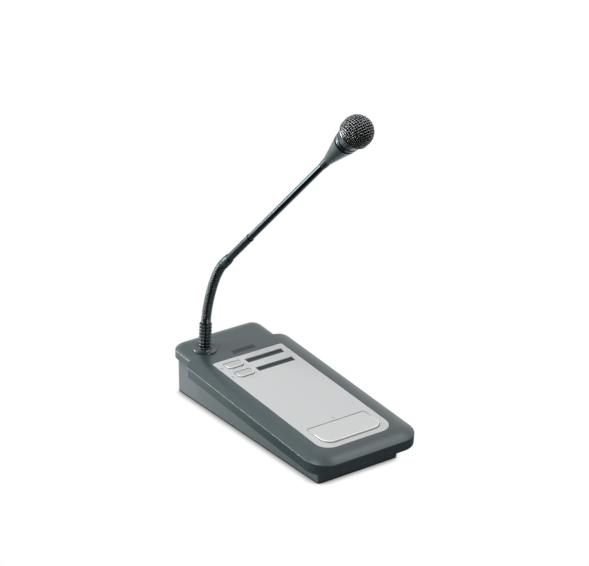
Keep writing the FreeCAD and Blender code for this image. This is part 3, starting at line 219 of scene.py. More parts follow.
def painted_groove_shade(tree, paint, reach_mm):
    """Painted shade: leave a tenth of the colour where most of the surroundings are closed."""
    nearby = tree.make("ShaderNodeAmbientOcclusion", {"Distance": reach_mm * MM}, samples=8)
    openness = tree.value(nearby, "AO").between(CAVITY_CLOSED, CAVITY_OPEN)
    return scaled(tree, paint, openness * (1.0 - GROOVE_SHADE_TONE) + GROOVE_SHADE_TONE)


def surface(
    name,
    colour,
    rough,
    metal=0.0,
    drift=0.10,
    grain_mm=0.35,
    grain=0.10,
    shine=0.08,
    coat=0.0,
    gloss=0.3,
    dust=0.0,
    relief=2.0,
    groove_shade_mm=0.0,
    extra=None,
):
    """Make one procedural surface.

    drift, grain, shine and dust say how strong each layer is, and relief how far the grain
    stands out. Sizes are in millimetres, and extra is a function that adds to paint and height.
    """
    material = bpy.data.materials.new(name)
    material.use_nodes = True
    tree = Tree(material.node_tree)
    shader = material.node_tree.nodes["Principled BSDF"]
    place = tree.make("ShaderNodeTexCoord").outputs["Object"]
    slow = noise(tree, place, DRIFT_SCALE, DRIFT_DETAIL)
    fine = noise(tree, place, 1.0 / (grain_mm * MM))
    smear = noise(tree, place, SMEAR_SCALE, SMEAR_DETAIL)

    tone = (slow - 0.5) * 2.0 * drift + (fine - 0.5) * grain + 1.0
    paint = scaled(tree, colour[:3], tone)
    if dust:
        paint = mixed(tree, smear.between(DUSTY_FROM, DUSTY_TO) * dust, paint, DUST)
    height = fine
    if extra:
        paint, height = extra(tree, place, paint, height)
    # Painted shade deep inside grooves, where little light gets in
    if groove_shade_mm:
        paint = painted_groove_shade(tree, paint, groove_shade_mm)

    tree.feed(shader.inputs["Base Color"], paint)
    tree.feed(shader.inputs["Roughness"], (smear - 0.5) * 2.0 * shine + rough)
    shader.inputs["Metallic"].default_value = metal
    shader.inputs["Coat Weight"].default_value = coat
    shader.inputs["Specular IOR Level"].default_value = gloss
    bump = {
        "Height": height,
        "Strength": grain * relief,
        "Distance": grain_mm * MM * GRAIN_DEPTH,
    }
    tree.feed(shader.inputs["Normal"], tree.make("ShaderNodeBump", bump))
    return material


# %% [markdown]
# ## Places on the deck
# Two marks in the colour belong to certain places of the deck, the painted highlight on the key
# edges and the painted shade of the seam, so they need to know where on it a point lies. The deck
# slopes up to the rear. These sizes are the solid model's own, in millimetres: across the deck
# from its middle line, and along its slope.

# %% Deck and key sizes
DECK_RISE = 38.8
DECK_SLOPE = math.radians(4.516)
WIDE_REAR = 81.2
TALK_KEY = {"left": -29.6, "right": 29.6, "front": -94.7, "back": -66.8, "nose": 9.5}
ZONE_KEY = {"left": -29.05, "right": -12.85, "front": 48.9, "back": 59.0, "nose": 3.6}
ZONE_PITCH = 16.7


def along_deck(tree, place):
    """How far to the rear a point lies, measured on the sloping deck."""
    axis = tree.make("ShaderNodeSeparateXYZ", {"Vector": place})
    return (
        tree.value(axis, "Y") * math.cos(DECK_SLOPE)
        + (tree.value(axis, "Z") - DECK_RISE * MM) * math.sin(DECK_SLOPE)
    )


# %% [markdown]
# The keys are painted silver. A highlight is painted along their rounded front and side edges,
# which are brighter than the flat top. Each key is a rectangle with round front corners, so a short
# formula gives the distance to its edge, and no picture has to be painted. The painted highlight
# lies between two ramps, one just outside the edge and one just inside it, and fades where the
# straight rear part of the key begins. In the photograph the two small zone keys are also a shade
# darker than the talk key.

# %% Key tone and painted edge highlight
ZONE_SHADE = 0.22
# Strength of the painted highlight on the key edges
EDGE_HIGHLIGHT = 0.6
HIGHLIGHT_OUTSIDE = (-1.0 * MM, -0.5 * MM)
HIGHLIGHT_INSIDE = (0.7 * MM, 1.1 * MM)
HIGHLIGHT_FADE = 2.0
REAR_KEYS_FROM = (0.0, 5.0 * MM)


def painted_edge_highlight(across, along, left, right, front, back, nose):
    """One where a highlight is painted, on the rounded front and side edge of a key between these lines."""
    half_width = (right - left) / 2 - nose
    half_depth = (back - front) / 2 - nose
    aside = (across - (left + right) / 2 * MM).math("ABSOLUTE")
    ahead = (along - (front + back) / 2 * MM).math("ABSOLUTE")
    over_x = (aside - half_width * MM).math("MAXIMUM", 0.0)
    over_y = (ahead - half_depth * MM).math("MAXIMUM", 0.0)
    inside = nose * MM - (over_x * over_x + over_y * over_y).math("SQRT")
    near_edge = inside.between(*HIGHLIGHT_OUTSIDE) - inside.between(*HIGHLIGHT_INSIDE)
    in_front = 1.0 - along.between((back - nose - HIGHLIGHT_FADE) * MM, (back - nose) * MM)
    return near_edge * in_front


def key_tone_and_highlight(tree, place, paint, height):
    """A painted highlight on the rounded key edges, and the small zone keys a shade darker than the talk key."""
    axis = tree.make("ShaderNodeSeparateXYZ", {"Vector": place})
    across = tree.value(axis, "X")
    along = along_deck(tree, place)
    rear = along.between(*REAR_KEYS_FROM)
    talk = painted_edge_highlight(across, along, **TALK_KEY)
    zone_1 = painted_edge_highlight(across, along, **ZONE_KEY)
    zone_2 = painted_edge_highlight(across, along + ZONE_PITCH * MM, **ZONE_KEY)
    # The painted highlight follows the talk key in front and the zone keys at the rear
    edge = talk * (1.0 - rear) + (zone_1 + zone_2).clamped() * rear
    return scaled(tree, paint, 1.0 - rear * ZONE_SHADE + edge * EDGE_HIGHLIGHT), height


# %% [markdown]
# The cover is one moulding, yet a faint line crosses the deck where the wide front part meets
# the narrower rear. It is far too shallow to be worth modelling, so it is drawn as a hairline: a
# shallow dip in the relief of the surface, and painted shade in the colour.

# %% Cover seam
SEAM_EDGE = (0.1 * MM, 0.35 * MM)
SEAM_STRENGTH = 0.35
SEAM_DEPTH = 2.0
SEAM_SHADE_COLOUR = rgb(0.008, 0.010, 0.011)


def deck_seam_shade(tree, place, paint, height):
    """A hairline across the deck at the shoulder: painted shade in the colour and a dip in the relief."""
    away = (along_deck(tree, place) - WIDE_REAR * MM).math("ABSOLUTE")
    # The line is darkened with painted shade and dipped in the relief
    line = 1.0 - away.between(*SEAM_EDGE)
    return mixed(tree, line * SEAM_STRENGTH, paint, SEAM_SHADE_COLOUR), height - line * SEAM_DEPTH


# %% [markdown]
# Every solid names the slot that its surface goes into, and each slot has one recipe here. The
# colours of the outer ones were judged in the photograph. What stays hidden inside, such as the
# circuit board and the screws, has the usual colour of such things.

# %% All surfaces, by the record's slot names
# A groove size paints shade into the grooves of that surface
RECIPES = {
    "cover_plastic": dict(
        colour=rgb(0.041, 0.066, 0.071), rough=0.32, gloss=0.6, shine=0.03, drift=0.06, dust=0.02,
        extra=deck_seam_shade,
    ),
    "housing_plastic": dict(colour=rgb(0.136, 0.166, 0.171), rough=0.5, dust=0.03),
    "panel_silver": dict(
        colour=rgb(0.62, 0.63, 0.635), rough=0.45, drift=0.015, grain=0.05, groove_shade_mm=0.8
    ),
    # The key edges get a painted highlight and the zone keys a darker tone
    "key_silver": dict(
        colour=rgb(0.60, 0.61, 0.61), rough=0.34, gloss=0.5, drift=0.02, grain=0.03,
        groove_shade_mm=1.6, extra=key_tone_and_highlight,
    ),
    "label_dark": dict(colour=rgb(0.030, 0.046, 0.050), rough=0.5),
    "light_pipe": dict(
        colour=rgb(0.47, 0.50, 0.53), rough=0.2, drift=0.05, grain=0.02, coat=0.3
    ),
    "badge_dark": dict(colour=rgb(0.020, 0.036, 0.040), rough=0.4, grain=0.04),
    "pin_steel": dict(colour=rgb(0.55, 0.55, 0.56), rough=0.3, metal=1.0, grain=0.05),
    "board_green": dict(colour=rgb(0.02, 0.12, 0.05), rough=0.3, coat=0.4, grain_mm=1.5),
    "switch_black": dict(colour=rgb(0.015, 0.015, 0.016), rough=0.5),
    "screw_zinc": dict(colour=rgb(0.50, 0.50, 0.48), rough=0.35, metal=1.0),
    "weight_steel": dict(colour=rgb(0.16, 0.16, 0.165), rough=0.5, metal=0.8, drift=0.2),
    "foot_rubber": dict(colour=rgb(0.012, 0.012, 0.013), rough=0.75, dust=0.1),
    "flange_metal": dict(
        colour=rgb(0.022, 0.040, 0.044), rough=0.18, gloss=0.8, grain=0.03, relief=0.5
    ),
    "bush_rubber": dict(
        colour=rgb(0.080, 0.098, 0.105), rough=0.2, metal=1.0, relief=0.3, groove_shade_mm=1.4
    ),
    "neck_metal": dict(
        colour=rgb(0.115, 0.138, 0.146), rough=0.22, metal=1.0, relief=0.3, groove_shade_mm=1.2
    ),
    "collar_metal": dict(colour=rgb(0.055, 0.083, 0.092), rough=0.42, metal=1.0, relief=0.3),
    "tube_metal": dict(
        colour=rgb(0.044, 0.064, 0.071), rough=0.22, metal=1.0, relief=0.3, grain_mm=0.2
    ),
    "mic_dark": dict(colour=rgb(0.012, 0.024, 0.027), rough=0.3, gloss=0.4, relief=0.5),
    "mic_shell": dict(
        colour=rgb(0.100, 0.132, 0.142), rough=0.24, metal=1.0, relief=0.3, groove_shade_mm=1.5
    ),
    "bezel_metal": dict(colour=rgb(0.16, 0.19, 0.20), rough=0.2, metal=1.0, relief=0.3),
    "mesh_wire": dict(
        colour=rgb(0.29, 0.31, 0.315), rough=0.24, metal=1.0, relief=0.3, groove_shade_mm=1.2
    ),
    "mic_foam": dict(
        colour=rgb(0.0012, 0.0014, 0.0015), rough=0.95, gloss=0.0, grain_mm=0.6, grain=0.4
    ),
    "capsule_metal": dict(colour=rgb(0.30, 0.30, 0.31), rough=0.35, metal=1.0),
}
SURFACES = {name: surface(name, **recipe) for name, recipe in RECIPES.items()}
for name, solid in nodes.items():
    solid.data.materials.clear()
    solid.data.materials.append(SURFACES[slots[name]])
print("surfaces:", len(SURFACES))

# %% [markdown]
# ## The line of the neck
# The neck bends on eight pivots. Their places come from the joints, and the direction of the
# microphone from the middle of its bezel, so the wound skin follows the solid links exactly.

# %% Pivots and directions along the neck
PIVOT_PAIRS = 4

pivots = []
for step in range(1, PIVOT_PAIRS + 1):
    for kind in ("nod", "sway"):
        pivots.append(Vector(joints[f"neck_{kind}_{step}"]["pos_m"]))
low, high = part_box("mic_bezel")
head_line = ((low + high) / 2 - pivots[-1]).normalized()
base_line = Vector((0.0, -math.sin(DECK_SLOPE), math.cos(DECK_SLOPE)))
lines = [base_line]
for lower, upper in zip(pivots[:-1], pivots[1:]):
    lines.append((upper - lower).normalized())
lines.append(head_line)
print("pivots:", len(pivots), "head direction:", [round(c, 4) for c in head_line])

# %% [markdown]
# ## Shapes made by nodes
# A repeated shape is a node group with named inputs. It is run once on an empty object and the
# result is kept as a plain mesh, already in its place. All groups end alike: the parts are
# joined, copies become real faces, and the material is set.


# %% Starting, ending and running a node group
def new_group(name, kinds):
    """Start a geometry group with these inputs, and return it, its tree and its input values."""
    group = bpy.data.node_groups.new(name, "GeometryNodeTree")
    group.interface.new_socket("Geometry", in_out="OUTPUT", socket_type="NodeSocketGeometry")
    for label, kind in kinds.items():
        group.interface.new_socket(label, in_out="INPUT", socket_type="NodeSocket" + kind)
    tree = Tree(group)
    entry = tree.make("NodeGroupInput")
    return group, tree, {label: tree.value(entry, label) for label in kinds}


def tube(tree, line, radius, sides, closed_ends=True):
    """A round tube along a curve."""
    profile = tree.make(
        "GeometryNodeCurvePrimitiveCircle", {"Resolution": sides, "Radius": radius}
    )
    return tree.make(
        "GeometryNodeCurveToMesh",
        {"Curve": line, "Profile Curve": profile, "Fill Caps": closed_ends},
    )


def close_group(tree, parts, material):
    """Join the parts, make copies real, smooth and paint them, and lead them out."""
    joined = tree.make("GeometryNodeJoinGeometry")
    for part in parts:
        tree.feed(joined.inputs[0], part)
    whole = tree.make("GeometryNodeRealizeInstances", {0: joined})
    smooth = tree.make("GeometryNodeSetShadeSmooth", {"Geometry": whole})
    painted = tree.make("GeometryNodeSetMaterial", {"Geometry": smooth, "Material": material})
    tree.make("NodeGroupOutput", {0: painted})


def run_group(group, name, values):
    """Set the inputs by their identifiers, run the group and return a plain mesh object."""
    holder = bpy.data.objects.new(name + "_maker", bpy.data.meshes.new(name + "_maker"))
    scene.collection.objects.link(holder)
    modifier = holder.modifiers.new("shape", "NODES")
    modifier.node_group = group
    for item in group.interface.items_tree:
        if item.in_out == "INPUT" and item.name in values:
            modifier[item.identifier] = values[item.name]
    bpy.context.view_layer.update()
    ready = holder.evaluated_get(bpy.context.evaluated_depsgraph_get())
    mesh = bpy.data.meshes.new_from_object(ready)
    mesh.name = name
    bpy.data.objects.remove(holder)
    piece = bpy.data.objects.new(name, mesh)
    scene.collection.objects.link(piece)
    return piece


# %% [markdown]
# ## The wound neck
# The real neck is a steel spring wire with a second wire pressed into its gaps, lacquered black.
# What shows is a close row of rounded turns. They could be one long screw, but a row of rings set
# square to the curve looks the same and stays closed at both ends. Points are set along the
# curve, two for each turn, and every second one gets a ring.

# %% Wound turns group
CORE_SIDES, RING_SIDES, WIRE_SIDES = 40, 44, 8
CURVE_STEPS = 24


def wound_turns_group():
    """Rings and a core along a curve from Start to End."""
    group, tree, read = new_group(
        "wound_turns",
        {
            "Start": "Vector",
            "Start Handle": "Vector",
            "End Handle": "Vector",
            "End": "Vector",
            "Turns": "Int",
            "Core Radius": "Float",
            "Ring Radius": "Float",
            "Wire Radius": "Float",
            "Material": "Material",
        },
    )
    spots = {name: read[name] for name in ("Start", "Start Handle", "End Handle", "End")}
    line = tree.make(
        "GeometryNodeCurvePrimitiveBezierSegment", spots | {"Resolution": CURVE_STEPS}
    )
    core = tube(tree, line, read["Core Radius"], CORE_SIDES)
    circle = tree.make(
        "GeometryNodeCurvePrimitiveCircle",
        {"Resolution": RING_SIDES, "Radius": read["Ring Radius"]},
    )
    ring = tube(tree, circle, read["Wire Radius"], WIRE_SIDES, closed_ends=False)
    samples = tree.make(
        "GeometryNodeCurveToPoints",
        {"Curve": line, "Count": read["Turns"] * 2.0 + 1.0},
        mode="COUNT",
    )
    every_second = tree.value(tree.make("GeometryNodeInputIndex")).math("MODULO", 2.0)
    rings = tree.make(
        "GeometryNodeInstanceOnPoints",
        {
            "Points": samples.outputs["Points"],
            "Selection": every_second,
            "Instance": ring,
            "Rotation": samples.outputs["Rotation"],
        },
    )
    close_group(tree, (core, rings), read["Material"])
    return group


WOUND_TURNS = wound_turns_group()


def wound_piece(name, start, leaving, end, arriving, length, turns, radii, slot):
    """Turns on a curve that leaves its start and arrives at its end in these directions."""
    handle = length / 3
    core, ring, wire = radii
    return run_group(
        WOUND_TURNS,
        name,
        {
            "Start": start,
            "Start Handle": start + leaving * handle,
            "End Handle": end - arriving * handle,
            "End": end,
            "Turns": turns,
            "Core Radius": core,
            "Ring Radius": ring,
            "Wire Radius": wire,
            "Material": SURFACES[slot],
        },
    )


# %% [markdown]
# Each piece of skin spans one pivot, from the middle of one link to the middle of the next, and
# bends across that joint. So the row of turns doesn't open at the joints. The first
# piece starts on the sleeve at the foot, and the last one ends in the collar of the stem.

# %% Neck pieces, one across each pivot
HALF_LINK, FIRST_HALF, LAST_HALF = 4.4 * MM, 3.1 * MM, 2.4 * MM
TURN_PITCH = 2.2 * MM
NECK_RADII = (3.45 * MM, 3.57 * MM, 0.78 * MM)

last = len(pivots) - 1
for n, pivot in enumerate(pivots):
    before = FIRST_HALF if n == 0 else HALF_LINK
    after = LAST_HALF if n == last else HALF_LINK
    start = pivot - lines[n] * before
    end = pivot + lines[n + 1] * after
    length = before + after
    turns = round(length / TURN_PITCH)
    piece = wound_piece(
        f"neck_skin_{n + 1}",
        start, lines[n],
        end, lines[n + 1],
        length, turns, NECK_RADII, "neck_metal",
    )
    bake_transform(piece)
    if n < last:
        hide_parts(f"neck_link_{n + 1}")
    print(piece.name, "turns", turns, "faces", len(piece.data.polygons))

# %% [markdown]
# The bush at the foot of the neck has the same kind of turns, thicker and wider apart. It stands
# straight and never bends, so the same node group makes it in one piece. Its outer radius is read
# from the solid bush that it stands for.

# %% Bush rings
BUSH_TURNS = 8
BUSH_WIRE = 0.85 * MM
BUSH_GROOVE = 1.1 * MM
BUSH_END = 1.0 * MM

low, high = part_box("stem_bush")
foot = (low + high) / 2
half_length = (high.z - low.z) / 2 - BUSH_END
bush_radius = (high.x - low.x) / 2
bush_radii = (bush_radius - BUSH_GROOVE, bush_radius - BUSH_WIRE, BUSH_WIRE)
rings = wound_piece(
    "bush_rings",
    foot - base_line * half_length, base_line,
    foot + base_line * half_length, base_line,
    half_length * 2, BUSH_TURNS, bush_radii, "bush_rubber",
)
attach(rings, "station")
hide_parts("stem_bush")
print("bush box", [round(c / MM, 2) for c in (high - low)], "faces", len(rings.data.polygons))

# %% [markdown]
# ## The woven grille
# The grille is a square wire cloth pressed over a round former. Distances along the wires stay
# what they were in the flat cloth, so a point that lay at some distance from the middle ends up
# at the same distance along the dome. The dome has a wide round cap and, below it, a side with a
# smaller radius whose centre lies off the axis.
#
# A picture of a mesh would look flat against the light. Here the wires are real and pass over and
# under each other, and where one lies on top it carries a small flattened crown, as pressing
# leaves it. The crowns catch the light and give the cloth its sparkle.

# %% Places on the flat cloth and on the dome
WEAVE_LIFT = 0.9
CROWN_LIFT = 1.7
STEPS_PER_PITCH = 4.0
STRAND_SIDES = 6
NOT_ZERO = 0.001 * MM
EDGE_ACROSS = 0.1 * MM


def flat_place(tree, pitch):
    """Where a point of the flat cloth is, its distance from the middle and its weave."""
    axis = tree.make("ShaderNodeSeparateXYZ", {"Vector": tree.make("GeometryNodeInputPosition")})
    x, y = tree.value(axis, "X"), tree.value(axis, "Y")
    distance = (x * x + y * y).math("SQRT").math("MAXIMUM", NOT_ZERO)
    weave = (x * math.pi / pitch).math("COSINE") * (y * math.pi / pitch).math("COSINE")
    return x, y, distance, weave


def on_dome(tree, read, cloth, x, y, distance, lift):
    """Trim the flat cloth to its reach and press it over the dome."""
    trimmed = tree.make(
        "GeometryNodeDeleteGeometry",
        {"Geometry": cloth, "Selection": distance.math("GREATER_THAN", read["Reach"])},
        domain="POINT",
    )
    cap_length = read["Cap Radius"] * read["Cap Angle"]
    on_side = distance.math("GREATER_THAN", cap_length)
    cap_angle = distance / read["Cap Radius"]
    side_angle = read["Cap Angle"] + (distance - cap_length) / read["Side Radius"]
    angle = cap_angle * (1.0 - on_side) + side_angle * on_side
    cap_radius = read["Cap Radius"] + lift
    side_radius = read["Side Radius"] + lift
    out = (
        cap_radius * angle.math("SINE") * (1.0 - on_side)
        + (read["Side Offset"] + side_radius * angle.math("SINE")) * on_side
    )
    up = (
        (read["Cap Centre"] + cap_radius * angle.math("COSINE")) * (1.0 - on_side)
        + (read["Side Centre"] + side_radius * angle.math("COSINE")) * on_side
    )
    placed = tree.make(
        "ShaderNodeCombineXYZ", {"X": x / distance * out, "Y": y / distance * out, "Z": up}
    )
    return tree.make("GeometryNodeSetPosition", {"Geometry": trimmed, "Position": placed})


# %% [markdown]
# The wires of one direction start as a grid that is fine along them and coarse across. The edges
# across are taken away, and what stays is a set of lines. Their height follows a wave that has
# the opposite sign for the other direction, which weaves the two together.


# %% Wires of one direction
def wires_one_way(tree, read, along_x):
    """Woven wires that all run the same way."""
    size = (read["Wires"] - 1.0) * read["Pitch"]
    many = (read["Wires"] - 1.0) * STEPS_PER_PITCH + 1.0
    counts = (many, read["Wires"]) if along_x else (read["Wires"], many)
    cloth = tree.make(
        "GeometryNodeMeshGrid",
        {"Size X": size, "Size Y": size, "Vertices X": counts[0], "Vertices Y": counts[1]},
    )
    ends = tree.make("GeometryNodeInputMeshEdgeVertices")
    first = tree.make("ShaderNodeSeparateXYZ", {"Vector": ends.outputs["Position 1"]})
    second = tree.make("ShaderNodeSeparateXYZ", {"Vector": ends.outputs["Position 2"]})
    across = "Y" if along_x else "X"
    step = (tree.value(first, across) - tree.value(second, across)).math("ABSOLUTE")
    strands = tree.make(
        "GeometryNodeDeleteGeometry",
        {"Geometry": cloth, "Selection": step.math("GREATER_THAN", EDGE_ACROSS)},
        domain="EDGE",
        mode="EDGE_FACE",
    )
    x, y, distance, weave = flat_place(tree, read["Pitch"])
    lift = weave * read["Wire Radius"] * (WEAVE_LIFT if along_x else -WEAVE_LIFT)
    dome = on_dome(tree, read, strands, x, y, distance, lift)
    lines_on_dome = tree.make("GeometryNodeMeshToCurve", {"Mesh": dome})
    return tube(tree, lines_on_dome, read["Wire Radius"], STRAND_SIDES)


# %% [markdown]
# A crown is a small flattened ball, longer along the wire that lies on top. The way of that wire
# is stored at each crossing while the cloth is still flat. After pressing, each crown stands
# square to the dome and turns about that line until its long axis follows the wire.


# %% Crowns on the crossings
def pressed_crowns(tree, read):
    """A flattened ball on every crossing, turned along the upper wire."""
    size = (read["Wires"] - 1.0) * read["Pitch"]
    crossings = tree.make(
        "GeometryNodeMeshGrid",
        {"Size X": size, "Size Y": size, "Vertices X": read["Wires"], "Vertices Y": read["Wires"]},
    )
    x, y, distance, weave = flat_place(tree, read["Pitch"])
    x_above = weave.math("GREATER_THAN", 0.0)
    direction = tree.make("ShaderNodeCombineXYZ", {"X": x_above, "Y": 1.0 - x_above})
    marked = tree.make(
        "GeometryNodeStoreNamedAttribute",
        {"Geometry": crossings.outputs["Mesh"], "Name": "wire_way", "Value": direction},
        data_type="FLOAT_VECTOR",
        domain="POINT",
    )
    crowns = on_dome(tree, read, marked, x, y, distance, read["Wire Radius"] * CROWN_LIFT)
    middle = tree.make("ShaderNodeCombineXYZ", {"Z": read["Side Centre"]})
    outward = tree.make(
        "ShaderNodeVectorMath",
        {0: tree.make("GeometryNodeInputPosition"), 1: middle},
        operation="SUBTRACT",
    )
    standing = tree.make("FunctionNodeAlignRotationToVector", {"Vector": outward}, axis="Z")
    way = tree.make(
        "GeometryNodeInputNamedAttribute", {"Name": "wire_way"}, data_type="FLOAT_VECTOR"
    )
    turned = tree.make(
        "FunctionNodeAlignRotationToVector",
        {"Rotation": standing, "Vector": way.outputs["Attribute"]},
        axis="X",
        pivot_axis="Z",
    )
    ball = tree.make("GeometryNodeMeshUVSphere", {"Segments": 10, "Rings": 5, "Radius": 1.0})
    return tree.make(
        "GeometryNodeInstanceOnPoints",
        {
            "Points": crowns,
            "Instance": ball.outputs["Mesh"],
            "Rotation": turned,
            "Scale": read["Crown Size"],
        },
    )


# %% [markdown]
# The whole cloth is the wires of both directions and the crowns on their crossings, over a dome
# about the z axis.


# %% Grille group
def wire_cloth_group():
    """Woven wires and crowns, mapped from a flat square onto a dome."""
    group, tree, read = new_group(
        "wire_cloth",
        {
            "Wires": "Int",
            "Pitch": "Float",
            "Reach": "Float",
            "Wire Radius": "Float",
            "Cap Radius": "Float",
            "Cap Centre": "Float",
            "Side Radius": "Float",
            "Side Offset": "Float",
            "Side Centre": "Float",
            "Cap Angle": "Float",
            "Crown Size": "Vector",
            "Material": "Material",
        },
    )
    parts = (
        wires_one_way(tree, read, along_x=True),
        wires_one_way(tree, read, along_x=False),
        pressed_crowns(tree, read),
    )
    close_group(tree, parts, read["Material"])
    return group


# %% [markdown]
# The sizes of the dome are those of the solid ball, in millimetres, with heights measured along
# the stem from the last pivot. The cloth lies a little inside the ball, so that its crowns don't
# stand out further than the solid does.

# %% Grille on the microphone
BALL_TIP = 239.5
BALL_CAP, BALL_SIDE, BALL_OFFSET = 15.4, 12.6, 1.1
RIM_HEIGHT = 223.0
WIRE_RADIUS = 0.24
WIRE_PITCH = 2.1
CLOTH_INSET = 2.4 * WIRE_RADIUS
CROWN_SIZE = Vector((0.80, 0.50, 0.16)) * MM

head_side = lines[1].cross(head_line).normalized()
head_turn = head_line.cross(head_side)
to_head = Matrix((head_side, head_turn, head_line)).transposed().to_4x4()
to_head.translation = pivots[-1]

cap_centre = BALL_TIP - BALL_CAP
between_centres = BALL_CAP - BALL_SIDE
side_centre = cap_centre + math.sqrt(between_centres**2 - BALL_OFFSET**2)
cap_angle = math.asin(BALL_OFFSET / between_centres)
rim_angle = math.pi / 2 + math.asin((side_centre - RIM_HEIGHT) / BALL_SIDE)
reach = BALL_CAP * cap_angle + BALL_SIDE * (rim_angle - cap_angle)
grille = run_group(
    wire_cloth_group(),
    "mic_wires",
    {
        "Wires": 2 * int(reach / WIRE_PITCH) + 1,
        "Pitch": WIRE_PITCH * MM,
        "Reach": reach * MM,
        "Wire Radius": WIRE_RADIUS * MM,
        "Cap Radius": (BALL_CAP - CLOTH_INSET) * MM,
        "Cap Centre": cap_centre * MM,
        "Side Radius": (BALL_SIDE - CLOTH_INSET) * MM,
        "Side Offset": BALL_OFFSET * MM,
        "Side Centre": side_centre * MM,
        "Cap Angle": cap_angle,
        "Crown Size": CROWN_SIZE,
        "Material": SURFACES["mesh_wire"],
    },
)
grille.data.transform(to_head)
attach(grille, "microphone")
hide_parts("mic_mesh")
print("grille faces:", len(grille.data.polygons), "reach", round(reach, 2))

# %% [markdown]
# ## Camera
# The camera stands in front and to the left, a little above the station, with a long lens, as
# product photographs are taken to keep edges nearly parallel. Its place, turns and lens were
# worked out from the edges of the base, whose size is known.

# %% Camera
CAMERA_PLACE = Vector((-1056.367, -1492.014, 952.254)) * MM
CAMERA_TURN, CAMERA_TILT, CAMERA_ROLL = (math.radians(a) for a in (-35.4334, 24.0938, 0.0508))
SENSOR_WIDTH, LENS = 36.0, 145.857
NEAREST, FARTHEST = 0.1, 20.0


def place_camera():
    """A camera from its place, its turns and its lens."""
    data = bpy.data.cameras.new("photo_camera")
    camera = bpy.data.objects.new("photo_camera", data)
    scene.collection.objects.link(camera)
    back = Vector(
        (
            math.sin(CAMERA_TURN) * math.cos(CAMERA_TILT),
            -math.cos(CAMERA_TURN) * math.cos(CAMERA_TILT),
            math.sin(CAMERA_TILT),
        )
    )
    right = Vector((math.cos(CAMERA_TURN), math.sin(CAMERA_TURN), 0.0))
    up = back.cross(right)
    side = right * math.cos(CAMERA_ROLL) + up * math.sin(CAMERA_ROLL)
    upright = up * math.cos(CAMERA_ROLL) - right * math.sin(CAMERA_ROLL)
    placing = Matrix((side, upright, back)).transposed().to_4x4()
    placing.translation = CAMERA_PLACE
    camera.matrix_world = placing
    data.sensor_width = SENSOR_WIDTH
    data.lens = LENS
    data.clip_start = NEAREST
    data.clip_end = FARTHEST
    scene.camera = camera


place_camera()
print("camera at", [round(c, 3) for c in CAMERA_PLACE], "lens", LENS)

# %% [markdown]
# ## Floor
# The photograph was taken on white. To the camera the floor is plain white and gets darker only
# close to the station, where it is shut off from the light. That is the narrow soft shadow of the
# photograph. To the light it is a matt grey paper, so that it doesn't throw too much light up.
#
# The dark metal of the stem mirrors the studio. On the side of the camera the studio is a dark
# room, and behind the station it is white. So reflections see the floor white in the rear half
# and dark in the front half, which gives the stem and the neck their black middle between pale
# sides.

# %% Floor
CAMERA_SIDE = (-0.58, -0.815, 0.0)
FLOOR_HALF = 6.0
FLOOR_GREY = rgb(0.45, 0.45, 0.45)
PAPER_ROUGH, PAPER_FLECK, FLECK_SCALE = 0.85, 0.05, 900.0
SHADOW_REACH = 13.0 * MM
SHADOW_FULL, SHADOW_NONE = 0.38, 0.8
FLOOR_ROOM = (-0.08, 0.06)
FLOOR_ROOM_DARK = 0.95


def shown_rays(tree):
    """One for rays that show the background directly, in a reflection or through glass."""
    path = tree.make("ShaderNodeLightPath")
    return (
        tree.value(path, "Is Camera Ray")
        + tree.value(path, "Is Glossy Ray")
        + tree.value(path, "Is Transmission Ray")
    ).clamped()


def camera_rays(tree):
    """One for rays that come straight from the camera."""
    return tree.value(tree.make("ShaderNodeLightPath"), "Is Camera Ray")


def in_dark_room(tree, place, limits):
    """One on the side of the camera, zero on the far side, with a ramp between the limits."""
    towards = tree.make(
        "ShaderNodeVectorMath", {0: place, 1: CAMERA_SIDE}, operation="DOT_PRODUCT"
    )
    return tree.value(towards, "Value").between(*limits)


def choose(tree, factor, first, second):
    """The first shader where the factor is zero, the second where it is one."""
    return tree.make("ShaderNodeMixShader", {0: factor, 1: first, 2: second})


def floor_paper():
    """White paper to the camera, with a shade close to what stands on it."""
    material = bpy.data.materials.new("floor_paper")
    material.use_nodes = True
    tree = Tree(material.node_tree)
    shader = material.node_tree.nodes["Principled BSDF"]
    place = tree.make("ShaderNodeTexCoord").outputs["Object"]
    fleck = noise(tree, place, FLECK_SCALE)
    tree.feed(shader.inputs["Roughness"], fleck * PAPER_FLECK + PAPER_ROUGH)
    shader.inputs["Base Color"].default_value = FLOOR_GREY
    shader.inputs["Specular IOR Level"].default_value = 0.0
    nearby = tree.make("ShaderNodeAmbientOcclusion", {"Distance": SHADOW_REACH}, samples=16)
    openness = tree.value(nearby, "AO").between(SHADOW_FULL, SHADOW_NONE)
    room = in_dark_room(tree, place, FLOOR_ROOM) * (1.0 - camera_rays(tree))
    glow = tree.make("ShaderNodeEmission", {"Color": WHITE})
    tree.feed(glow.inputs["Strength"], openness * (1.0 - room * FLOOR_ROOM_DARK))
    floor_look = choose(tree, shown_rays(tree), shader, glow)
    tree.feed(material.node_tree.nodes["Material Output"].inputs["Surface"], floor_look)
    return material


def make_floor():
    """A plain pale floor, staged and not part of the station."""
    mesh = bpy.data.meshes.new("floor")
    size = FLOOR_HALF
    corners = [(-size, -size, 0), (size, -size, 0), (size, size, 0), (-size, size, 0)]
    mesh.from_pydata(corners, [], [(0, 1, 2, 3)])
    mesh.materials.append(floor_paper())
    floor = bpy.data.objects.new("floor", mesh)
    scene.collection.objects.link(floor)
    floor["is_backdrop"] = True


make_floor()
print("floor", FLOOR_HALF * 2, "m wide")

# %% [markdown]
# ## Lamps
# Four soft lamps light the station. A low one behind it on the left draws the thin pale line
# along the cover's edge and lights the left side of the metal. A large one high on the left gives
# most of the light on the deck. Two weaker ones, high on the right and in front, fill the shade.
# Big soft lamps are used because a small one would make hard shadows, which the photograph
# doesn't have.


